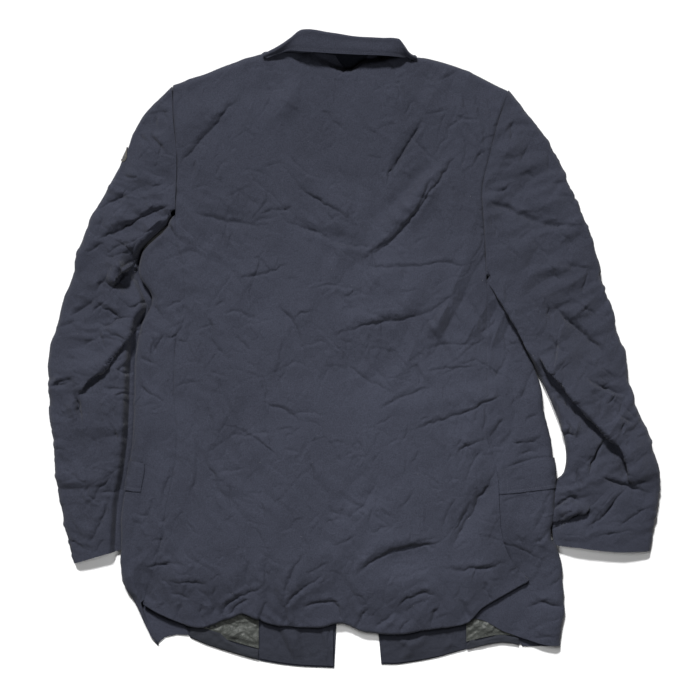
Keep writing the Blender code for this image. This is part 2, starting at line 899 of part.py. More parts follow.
def moved_out(point, across, along, outward, distance):
    """Point of a panel moved out of it, to the side that outward points to."""
    du = point(across + 0.03, along) - point(across - 0.03, along)
    dv = point(across, along + 0.03) - point(across, along - 0.03)
    normal = du.cross(dv).normalized()
    if normal.dot(outward) < 0:
        normal = -normal
    return point(across, along) + normal * distance


def round_fold(side, share):
    """Direction out of a fold: up where share is 0, sideways at a half, down at 1."""
    angle = math.pi * min(max(share, 0.0), 1.0)
    return Vector((side * math.sin(angle), 0.0, math.cos(angle)))


def flap_point(side, start, columns, low_y, high_y):
    """Pocket flap laid on a side panel, round its fold and beneath it."""
    def section(f, tens):
        return side_section(side, f, tens * 10)

    def point(i, j):
        y = lerp(low_y, high_y, j / FLAP_ROWS)
        f = min(lerp(start, SIDE_COLUMNS, i / columns), SIDE_COLUMNS - 0.05)
        outward = round_fold(side, (f - TOP_STEPS) / ROLL_STEPS)
        return moved_out(section, f, y / 10, outward, FLAP_OUT)
    return point


def badge_point(i, j):
    """Round patch on the outer edge of the left sleeve."""
    a = 2 * i / BADGE_STEPS - 1
    b = 2 * j / BADGE_STEPS - 1
    across = BADGE_RADIUS * a * math.sqrt(1 - b * b / 2)
    along = BADGE_RADIUS * b * math.sqrt(1 - a * a / 2)
    share = BADGE_SHARE + across / OUTER_ROLL_LENGTH
    v = BADGE_V + along / SLEEVE_LENGTH
    distance = HALF_WALL + 2 * LAYER_GAP + BADGE_WALL / 2

    def outline(at, down):
        return sleeve_section(-1, "outer", at, down)

    return moved_out(outline, share, v, round_fold(-1, share), distance)


def lapel_point(side, i, j):
    """Plain lapel folded back beneath a front along its neck edge."""
    y = lerp(136.0, 378.0, j / LAPEL_ROWS)
    rows = FRONT_EDGE_LEFT if side < 0 else FRONT_EDGE_RIGHT
    fold_x = reading(rows, "y", "x", y) + side * 2.0
    width = 12 + 56 * smooth(136, 330, y) - 14 * smooth(330, 378, y)
    x = fold_x + side * width * i / LAPEL_COLUMNS
    return Vector((x, y, THIN_WALL / 2))


# ---------------------------------------------------------------- making the solids
def make_material(name, colour, roughness):
    material = bpy.data.materials.new(name)
    material.use_nodes = True
    shader = material.node_tree.nodes["Principled BSDF"]
    shader.inputs["Base Color"].default_value = (*colour, 1.0)
    shader.inputs["Roughness"].default_value = roughness
    return material


def make_sheet(name, point, columns, rows, wall, material, collection):
    """Cloth piece: a grid moved onto the form of the cloth, then given its wall."""
    mesh = bpy.data.meshes.new(name)
    bm = bmesh.new()
    bmesh.ops.create_grid(bm, x_segments=columns, y_segments=rows, size=0.5)
    for vertex in bm.verts:
        i = round((vertex.co.x + 0.5) * columns)
        j = round((vertex.co.y + 0.5) * rows)
        vertex.co = (point(i, j) - Vector((MIDDLE_X, MIDDLE_Y, 0.0))) * MM
    bmesh.ops.recalc_face_normals(bm, faces=bm.faces)
    bm.to_mesh(mesh)
    bm.free()
    obj = bpy.data.objects.new(name, mesh)
    collection.objects.link(obj)
    mesh.materials.append(material)
    mesh.shade_smooth()
    solid = obj.modifiers.new("wall", "SOLIDIFY")
    solid.thickness = wall * MM
    solid.offset = 0.0
    solid.use_even_offset = False
    solid.use_quality_normals = True
    return obj


def main():
    for obj in list(bpy.data.objects):
        bpy.data.objects.remove(obj, do_unlink=True)
    tunic = bpy.data.collections.new("dress_tunic")
    bpy.context.scene.collection.children.link(tunic)

    cloth = (0.05, 0.054, 0.08)
    lining = (0.1, 0.11, 0.105)

    def sheet(name, point, columns, rows, wall=WALL, colour=cloth, roughness=0.85):
        material = make_material(name + "_cloth", colour, roughness)
        return make_sheet(name, point, columns, rows, wall, material, tunic)

    sheet("back", back_point, BACK_COLUMNS, BACK_ROWS)
    sheet("facing_left", inner_layer_point(FRONT_HEM_LEFT, -131, -29.5, 5, -320, 0.0, 5, 4),
          5, 4, THIN_WALL)
    sheet("facing_right", inner_layer_point(FRONT_HEM_RIGHT, 38.5, 153, 5, -320, 0.0, 5, 4),
          5, 4, THIN_WALL)
    sheet("lining_left", inner_layer_point(FRONT_HEM_LEFT, -225, -132, 16, -320, 1.5, 7, 5),
          7, 5, THIN_WALL, lining, 0.6)
    sheet("lining_right", inner_layer_point(FRONT_HEM_RIGHT, 154, 226, 12, -320, 0.8, 6, 5),
          6, 5, THIN_WALL, lining, 0.6)
    for side, label in ((-1, "left"), (1, "right")):
        sheet("side_" + label, lambda i, j: side_point(side, i, j), SIDE_COLUMNS, SIDE_ROWS)
        sheet("front_" + label, lambda i, j: front_point(side, i, j), FRONT_COLUMNS, FRONT_ROWS)
        sheet("lapel_" + label, lambda i, j: lapel_point(side, i, j), LAPEL_COLUMNS, LAPEL_ROWS, THIN_WALL)
        upper, columns = undersleeve_point(side)
        sheet("undersleeve_" + label, upper, columns, SLEEVE_ROWS)
        lower, columns = topsleeve_point(side)
        sheet("topsleeve_" + label, lower, columns, SLEEVE_ROWS)
    sheet("collar", collar_point, STAND_STEPS + COLLAR_ROLL_STEPS + FALL_STEPS, COLLAR_ROWS)
    sheet("pocket_flap_left", flap_point(-1, 3.2, 8, -194, -155), 8, FLAP_ROWS, THIN_WALL)
    sheet("pocket_flap_right", flap_point(1, 1.0, 10, -192, -152), 10, FLAP_ROWS, THIN_WALL)
    sheet("sleeve_badge", badge_point, BADGE_STEPS, BADGE_STEPS, BADGE_WALL, (0.3, 0.22, 0.06), 0.6)


main()
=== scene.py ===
"""Dress tunic laid face down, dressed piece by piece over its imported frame.

Sizes are in millimetres until a mesh is made. X runs across the garment, Y from the hem to
the collar, Z up. Each cloth piece is a fine shell whose outer face carries its creases.
"""
import logging
import math
from dataclasses import dataclass, fields
from enum import Enum
from typing import Callable, Sequence

import bpy
import numpy as np
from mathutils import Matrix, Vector


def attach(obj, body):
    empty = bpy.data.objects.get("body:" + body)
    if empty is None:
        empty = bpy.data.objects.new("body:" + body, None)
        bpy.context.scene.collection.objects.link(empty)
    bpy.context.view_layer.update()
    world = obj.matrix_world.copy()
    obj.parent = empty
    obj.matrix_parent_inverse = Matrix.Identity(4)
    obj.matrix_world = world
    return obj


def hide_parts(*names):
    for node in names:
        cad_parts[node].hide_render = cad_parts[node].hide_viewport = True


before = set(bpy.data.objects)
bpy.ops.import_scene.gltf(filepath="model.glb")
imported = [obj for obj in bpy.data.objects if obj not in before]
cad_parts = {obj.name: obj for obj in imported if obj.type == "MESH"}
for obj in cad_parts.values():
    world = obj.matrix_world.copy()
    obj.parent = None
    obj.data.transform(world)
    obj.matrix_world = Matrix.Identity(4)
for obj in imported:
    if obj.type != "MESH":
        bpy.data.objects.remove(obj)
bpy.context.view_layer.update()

Array = np.ndarray
Plan = tuple[Array, Array]
Points = tuple[tuple[float, float], ...]
Box = tuple[float, float, float, float]
Colour = tuple[float, float, float]
Socket = bpy.types.NodeSocket

MM = 0.001
# middle of the whole garment in plan, which is the frame's origin
MIDDLE = np.array([-0.728, -0.828, 0.0])
# cells along each side of a random field, after which it repeats
CELLS = 64
# least share of its flat rectangle that a piece of cloth fills
LEAST_FILL = 0.31

log = logging.getLogger("tunic")


class Side(Enum):
    """The wearer's two sides, as the garment lies back upward."""

    LEFT = -1
    RIGHT = 1

    @property
    def label(self) -> str:
        """Ending of the names of the pieces on this side."""
        return self.name.lower()


# ---------------------------------------------------------------- measuring tools
def ease(start: float, end: float, value: Array | float) -> Array:
    """Ease from 0 at start to 1 at end.

    Args:
        start: value where the share is 0.
        end: value where the share is 1.
        value: places to read.
    Returns:
        The share at each place.
    """
    t = np.clip((np.asarray(value, float) - start) / (end - start), 0.0, 1.0)
    return t * t * (3 - 2 * t)


def lerp(a: Array | float, b: Array | float, t: Array | float) -> Array | float:
    """Go from a to b by the share t."""
    return a + (b - a) * t


def matched(x: Array | float, y: Array | float) -> Plan:
    """Two fields brought to the same shape."""
    return tuple(np.broadcast_arrays(np.asarray(x, float), np.asarray(y, float)))


def shares_across(count: int) -> Array:
    """Shares of the width, from 0 to 1, in so many even steps."""
    return np.linspace(0.0, 1.0, count + 1)[:, None]


def shares_along(count: int) -> Array:
    """Shares of the length, from 0 to 1, in so many even steps."""
    return np.linspace(0.0, 1.0, count + 1)[None, :]


def bell(value: Array | float) -> Array:
    """1 at 0, and falling away smoothly within about 2 on both sides."""
    return np.exp(-(value**2))


def rows_of(text: str) -> list[list[float]]:
    """Rows of numbers, one to a line or with semicolons between them."""
    lines = text.replace(";", "\n").splitlines()
    return [[float(number) for number in line.split()] for line in lines if line.strip()]


class Table:
    """Short table of sizes that is read smoothly between its rows."""

    def __init__(self, names: str, rows: str) -> None:
        """Keep the rows, with the first column as the key."""
        self.names = names.split()
        self.values = np.array(rows_of(rows))

    def read(self, name: str, at: Array | float) -> Array:
        """Read one column.

        Args:
            name: column to read.
            at: places along the first column.
        Returns:
            The readings, held at the table's ends.
        """
        keys = self.values[:, 0]
        column = self.values[:, self.names.index(name)]
        slopes = np.empty_like(column)
        slopes[1:-1] = (column[2:] - column[:-2]) / (keys[2:] - keys[:-2])
        slopes[0] = (column[1] - column[0]) / (keys[1] - keys[0])
        slopes[-1] = (column[-1] - column[-2]) / (keys[-1] - keys[-2])
        at = np.clip(np.asarray(at, float), keys[0], keys[-1])
        i = np.clip(np.searchsorted(keys, at, side="right") - 1, 0, len(keys) - 2)
        span = keys[i + 1] - keys[i]
        t = (at - keys[i]) / span
        t2, t3 = t * t, t * t * t
        low = (2 * t3 - 3 * t2 + 1) * column[i] + (t3 - 2 * t2 + t) * span * slopes[i]
        high = (3 * t2 - 2 * t3) * column[i + 1] + (t3 - t2) * span * slopes[i + 1]
        return low + high


def rounded(points: Points, rounds: int = 2) -> Array:
    """Cut the corners of a line of points.

    Args:
        points: places on the line.
        rounds: how many times each corner is cut.
    Returns:
        The points of the smoother line.
    """
    line = np.array(points, float)
    for _ in range(rounds):
        a, b = line[:-1], line[1:]
        cut = np.empty((2 * len(a), 2))
        cut[0::2] = a * 0.75 + b * 0.25
        cut[1::2] = a * 0.25 + b * 0.75
        line = np.vstack([line[:1], cut, line[-1:]])
    return line


def along_line(line: Array, x: Array, y: Array) -> tuple[Array, Array]:
    """Place of points beside a line.

    Args:
        line: points of the line.
        x: places across.
        y: places along the garment.
    Returns:
        Distance from the line, over 0 on its left hand, and share of its length.
    """
    best = np.full(x.shape, 1e9)
    share = np.zeros(x.shape)
    steps = np.diff(line, axis=0)
    lengths = np.maximum(np.hypot(steps[:, 0], steps[:, 1]), 1e-6)
    done = np.concatenate([[0.0], np.cumsum(lengths)])
    for k, (dx, dy) in enumerate(steps):
        rx, ry = x - line[k, 0], y - line[k, 1]
        t = np.clip((rx * dx + ry * dy) / lengths[k] ** 2, 0.0, 1.0)
        distance = np.hypot(rx - dx * t, ry - dy * t)
        nearer = distance < np.abs(best) - 1e-9
        sign = np.where(dx * ry - dy * rx >= 0, 1.0, -1.0)
        best = np.where(nearer, distance * sign, best)
        share = np.where(nearer, (done[k] + t * lengths[k]) / done[-1], share)
    return best, share


def lattice(x: Array, y: Array, seed: int) -> tuple[Array, ...]:
    """Read a field of random corner values from -1 to 1.

    Args:
        x: places across, in cells.
        y: places along, in cells.
        seed: which field.
    Returns:
        Values at the four corners of each place's cell, and the place's shares in that cell.
    """
    values = np.random.default_rng(seed).uniform(-1.0, 1.0, (CELLS, CELLS))
    i, j = np.floor(x).astype(int), np.floor(y).astype(int)
    i0, i1, j0, j1 = i % CELLS, (i + 1) % CELLS, j % CELLS, (j + 1) % CELLS
    return values[i0, j0], values[i1, j0], values[i0, j1], values[i1, j1], x - i, y - j


def noise(x: Array, y: Array, seed: int) -> Array:
    """Smooth random field from -1 to 1 with cells of size 1."""
    a, b, c, d, u, v = lattice(x, y, seed)
    u, v = u * u * u * (u * (u * 6 - 15) + 10), v * v * v * (v * (v * 6 - 15) + 10)
    return (a * (1 - u) + b * u) * (1 - v) + (c * (1 - u) + d * u) * v


def crumple(x: Array, y: Array, size: float, seed: int) -> Array:
    """Small angular facets of crushed cloth, about -1 to 1.

    Args:
        x: places across.
        y: places along.
        size: usual width of a facet.
        seed: which pattern.
    Returns:
        Height of the facets.
    """
    turn = 0.7 * seed
    right = x / size + 0.6 * noise(x / size / 2.3, y / size / 2.3, seed + 1)
    up = y / size + 0.6 * noise(x / size / 2.3, y / size / 2.3, seed + 2)
    s = right * math.cos(turn) - up * math.sin(turn)
    t = right * math.sin(turn) + up * math.cos(turn)
    a, b, c, d, p, q = lattice(s + 0.577 * t, 1.155 * t, seed)
    near = a * (1 - p - q) + b * p + c * q
    far = d * (p + q - 1) + b * (1 - q) + c * (1 - p)
    return np.where(p + q < 1, near, far)


def wander(x: Array, y: Array) -> Plan:
    """Places moved a little, so that lines drawn there waver as pressed cloth does."""
    sway_x = 2.3 * noise(x / 16, y / 16, 301) + 1.3 * noise(x / 6.0, y / 6.0, 302)
    sway_y = 2.3 * noise(x / 16, y / 16, 303) + 1.3 * noise(x / 6.0, y / 6.0, 304)
    return x + sway_x, y + sway_y


# ---------------------------------------------------------------- creases
@dataclass(frozen=True)
class Crease:
    """A pressed-in line with the cloth piled up beside it.

    Depth and width are of the line itself. Lean says which side the cloth is piled on: over 0
    is the left hand of its points.
    """

    depth: float
    width: float
    lean: float
    points: Points

    def height(self, x: Array, y: Array) -> Array:
        """Height that the crease adds.

        Args:
            x: places across.
            y: places along.
        Returns:
            Height at each place, 0 far from the line.
        """
        line = rounded(self.points)
        distance, share = along_line(line, x, y)
        away = np.abs(distance)
        taper = ease(0.0, 0.32, share) * ease(1.0, 0.66, share)
        phase = line[0, 0] * 0.37 + line[0, 1] * 0.11
        taper = taper * (1 + 0.22 * np.sin(9.0 * share + phase))
        width = self.width * (0.5 + 0.5 * taper)
        beside = np.clip(0.16 + 0.75 * self.lean * np.sign(distance), 0.0, None)
        pile = away / (3.0 * width)
        crest = 0.5 * pile * np.exp(1 - pile) + 0.6 * np.maximum(1 - np.abs(pile - 0.9), 0.0)
        valley = 0.95 * np.exp(-away / (0.5 * width)) + 0.16 * bell(away / (2.6 * width))
        return self.depth * taper * (beside * crest - valley)


@dataclass(frozen=True)
class Swell:
    """A broad soft rise, or a hollow where its size is under 0."""

    size: float
    width: float
    points: Points

    def height(self, x: Array, y: Array) -> Array:
        """Height that the swell adds at each place."""
        distance, share = along_line(rounded(self.points), x, y)
        taper = ease(-0.02, 0.4, share) * ease(1.02, 0.6, share)
        return self.size * taper * bell(distance / self.width)


@dataclass(frozen=True)
class Overlap:
    """Edge of a fold that lies over the cloth below it. The fold is on the line's left hand."""

    rise: float
    fall: float
    rise_reach: float
    fall_reach: float
    lip: float
    fade: float
    points: Points

    def place(self, x: Array, y: Array) -> tuple[Array, Array, Array]:
        """Height and plan shift at the fold's edge.

        Args:
            x: places across.
            y: places along.
        Returns:
            Height, shift across and shift along at each place.
        """
        line = rounded(self.points)
        distance, share = along_line(line, x, y)
        taper = ease(0.0, self.fade, share) * ease(1.0, 1.0 - self.fade, share)
        over = self.rise * bell(distance / self.rise_reach)
        under = -self.fall * bell(distance / self.fall_reach)
        height = lerp(under, over, ease(-0.7, 0.7, distance)) * taper
        chord = line[-1] - line[0]
        chord = chord / np.hypot(*chord)
        pull = -distance * (1 - ease(0.0, 4.2, np.abs(distance)))
        pull = pull - np.sign(distance) * self.lip * bell(distance / 4.5)
        return height, -chord[1] * pull * taper, chord[0] * pull * taper


def lines_from(kind: type, text: str) -> tuple:
    """Creases, swells or overlaps from rows of their sizes, then x and y of each point."""
    sizes = len(fields(kind)) - 1
    return tuple(kind(*row[:sizes], tuple(zip(row[sizes::2], row[sizes + 1 :: 2]))) for row in rows_of(text))


def small_creases(count: int, seed: int, box: Box, size: float = 1.0) -> tuple[Crease, ...]:
    """Scatter the many short creases of cloth that was kept crushed.

    Args:
        count: how many creases.
        seed: which scatter.
        box: lowest x, highest x, lowest y and highest y.
        size: how long and deep they are beside the usual ones.
    Returns:
        The creases.
    """
    rng = np.random.default_rng(seed)
    made = []
    for _ in range(count):
        x, y = rng.uniform(box[0], box[1]), rng.uniform(box[2], box[3])
        heading, bend = rng.uniform(0, math.pi), rng.normal(0.0, 0.2)
        step = size * rng.uniform(4.0, 9.0) * rng.choice((1.0, 1.0, 1.8))
        points = [(x, y)]
        for _ in range(4):
            x, y = x + step * math.cos(heading), y + step * math.sin(heading)
            heading += bend + rng.normal(0.0, 0.13)
            points.append((x, y))
        depth = (0.3 + 0.75 * rng.random() ** 2) * size**0.5
        made.append(Crease(depth, rng.uniform(1.2, 1.9), rng.choice((-0.5, 0.5)), tuple(points)))
    return tuple(made)


def total_height(creases: Sequence[Crease | Swell], x: Array, y: Array) -> Array:
    """Add up creases, each only near its own line.

    Args:
        creases: creases and swells of one region.
        x: places across.
        y: places along.
    Returns:
        Height at each place.
    """
    x, y = matched(x, y)
    height = np.zeros(x.shape)
    for crease in creases:
        line = np.array(crease.points, float)
        reach = crease.width * (14 if isinstance(crease, Crease) else 3)
        near = (x > line[:, 0].min() - reach) & (x < line[:, 0].max() + reach)
        near &= (y > line[:, 1].min() - reach) & (y < line[:, 1].max() + reach)
        if near.any():
            height[near] += crease.height(x[near], y[near])
    return height


# ---------------------------------------------------------------- sizes of the garment
BACK_SIDES = Table("y left right", """
-351 -290 262
-318 -281 239
-292 -271 216
-259 -264 202
-222 -258 198
-180 -250 196
-150 -245 189
-121 -243 181
-57 -247 181
13 -244 181
60 -233 181
100 -233 180
150 -243 178
190 -245 175
217 -244 174
263 -243 184
318 -248 199
361 -250 217
""")
LEFT_EDGE = Table("y x", """
-408 -271
-387 -285
-360 -297
-333 -311
-306 -319
-266 -320
-219 -317
-147 -306
-75 -301
3 -298
39 -288
56 -279
72 -278
104 -294
130 -292
147 -279
159 -264
182 -248
""")
RIGHT_EDGE = Table("y x", """
-412 283
-380 283
-359 288
-310 285
-275 278
-257 268
-223 273
-140 271
-85 259
-52 255
-26 246
0 234
26 223
50 209
72 194
90 185
""")
UNDER_SEAM = Table("y left right", """
-412 -222 231
-300 -258 230
-150 -250 217
0 -239 187
60 -233 174
95 -234 179
181 -243 181
""")
BACK_TOP = Table("x y", """
-250 361
-202 377
-158 393
-122 403
-80 405
0 403
60 403
82 399
100 398
150 384
217 353
""")
BACK_HEM = Table("x y", """
-290 -351
-268 -364
-223 -382
-204 -382
-177 -371
-150 -364
-110 -379
-48 -382
-20 -375
15 -388
63 -390
110 -384
154 -376
173 -357
215 -332
239 -318
""")
SIDE_HEM_RIGHT = Table("x y", """
161 -371
197 -387
226 -394
263 -402
284 -408
""")
COLLAR = Table("x roll_y roll_z fall_x fall_y fall_z", """
-125 402 25 -120 397 23.7
-106 410 28.5 -105 403 24.7
-88 421 34 -90 407 25
-71 432 39 -71 404 31
-34 428 40 -34 401 33
1 423 40 1 399 34
35 421 39 35 398 33
60 420 37 58 397 29.5
66 413 35 65 397 26.7
72 405 30 71 398 24
78 401 26 77 397 20.2
85 399 22 83 396 18.1
""")
FRONT_HEMS = {
    Side.LEFT: Table("x y", """
-274 -405
-263 -402
-253 -395
-234 -395
-202 -408
-132 -429
-83 -437
-28 -440
"""),
    Side.RIGHT: Table("x y", """
37 -435
61 -435
111 -427
137 -420
186 -408
208 -406
240 -412
260 -414
283 -410
"""),
}
FRONT_EDGES = {
    Side.LEFT: Table("y x", "-440 -28; -200 -16; 60 -10; 230 -46; 398 -112"),
    Side.RIGHT: Table("y x", "-436 37; -200 16; 60 -3; 230 22; 396 86"),
}
SLEEVE_STATIONS = {
    Side.LEFT: Table("v outer_x outer_y inner_x inner_y", """
0.00 -249 359 -246 186
0.083 -290 318 -276 160
0.167 -313 265 -301 130
0.25 -340 214 -299 92
0.333 -369 163 -284 53
0.417 -384 107 -276 15
0.50 -402 51 -271 -24
0.583 -417 -5 -269 -64
0.667 -419 -64 -268 -103
0.75 -414 -122 -267 -142
0.833 -408 -180 -265 -181
0.917 -398 -238 -264 -221
1.00 -386 -295 -264 -260
"""),
    Side.RIGHT: Table("v outer_x outer_y inner_x inner_y", """
0.000 215 353 180 96
0.071 245 315 196 73
0.143 272 275 213 50
0.214 292 231 227 26
0.286 310 186 238 0
0.357 328 141 251 -26
0.429 339 94 262 -52
0.500 352 48 273 -78
0.571 367 2 283 -104
0.643 376 -46 290 -131
0.714 391 -92 291 -159
0.786 409 -136 284 -186
0.857 419 -183 280 -212
0.929 414 -231 281 -240
1.000 405 -278 284 -268
"""),
}

SOFT_FOLDS = lines_from(Swell, """
4.0 17 146 271 3 118
-4.5 10 128 274 10 152
3.5 16 -99 268 3 173
-3.5 10 -224 186 -110 169
-4.0 10 -100 170 34 139
4.0 15 136 77 -41 30
-3.5 11 -175 322 -237 256
-2.5 10 95 314 41 223
3.0 14 30 -85 210 -60
3.0 14 -180 48 -90 5
-3.0 12 -106 64 -70 -2
-5.0 20 197 -165 129 -279
-5.0 17 12 -297 123 -264
3.5 13 -126 -329 -184 -372
3.5 13 -64 -277 -99 -357
-2.5 14 -92 -21 -126 -74
""")

SLEEVE_SOFT_FOLDS = lines_from(Swell, """
-4.5 13 -249 196 -340 156
4.0 13 -284 157 -334 90
-3.0 12 -355 42 -310 30
3.0 13 -335 -150 -372 -232
-4.5 12 180 204 306 164
3.5 12 262 122 290 95
-4.5 13 270 60 345 -12
-5.0 14 345 -120 322 -172
-4.0 12 335 -172 405 -197
""")

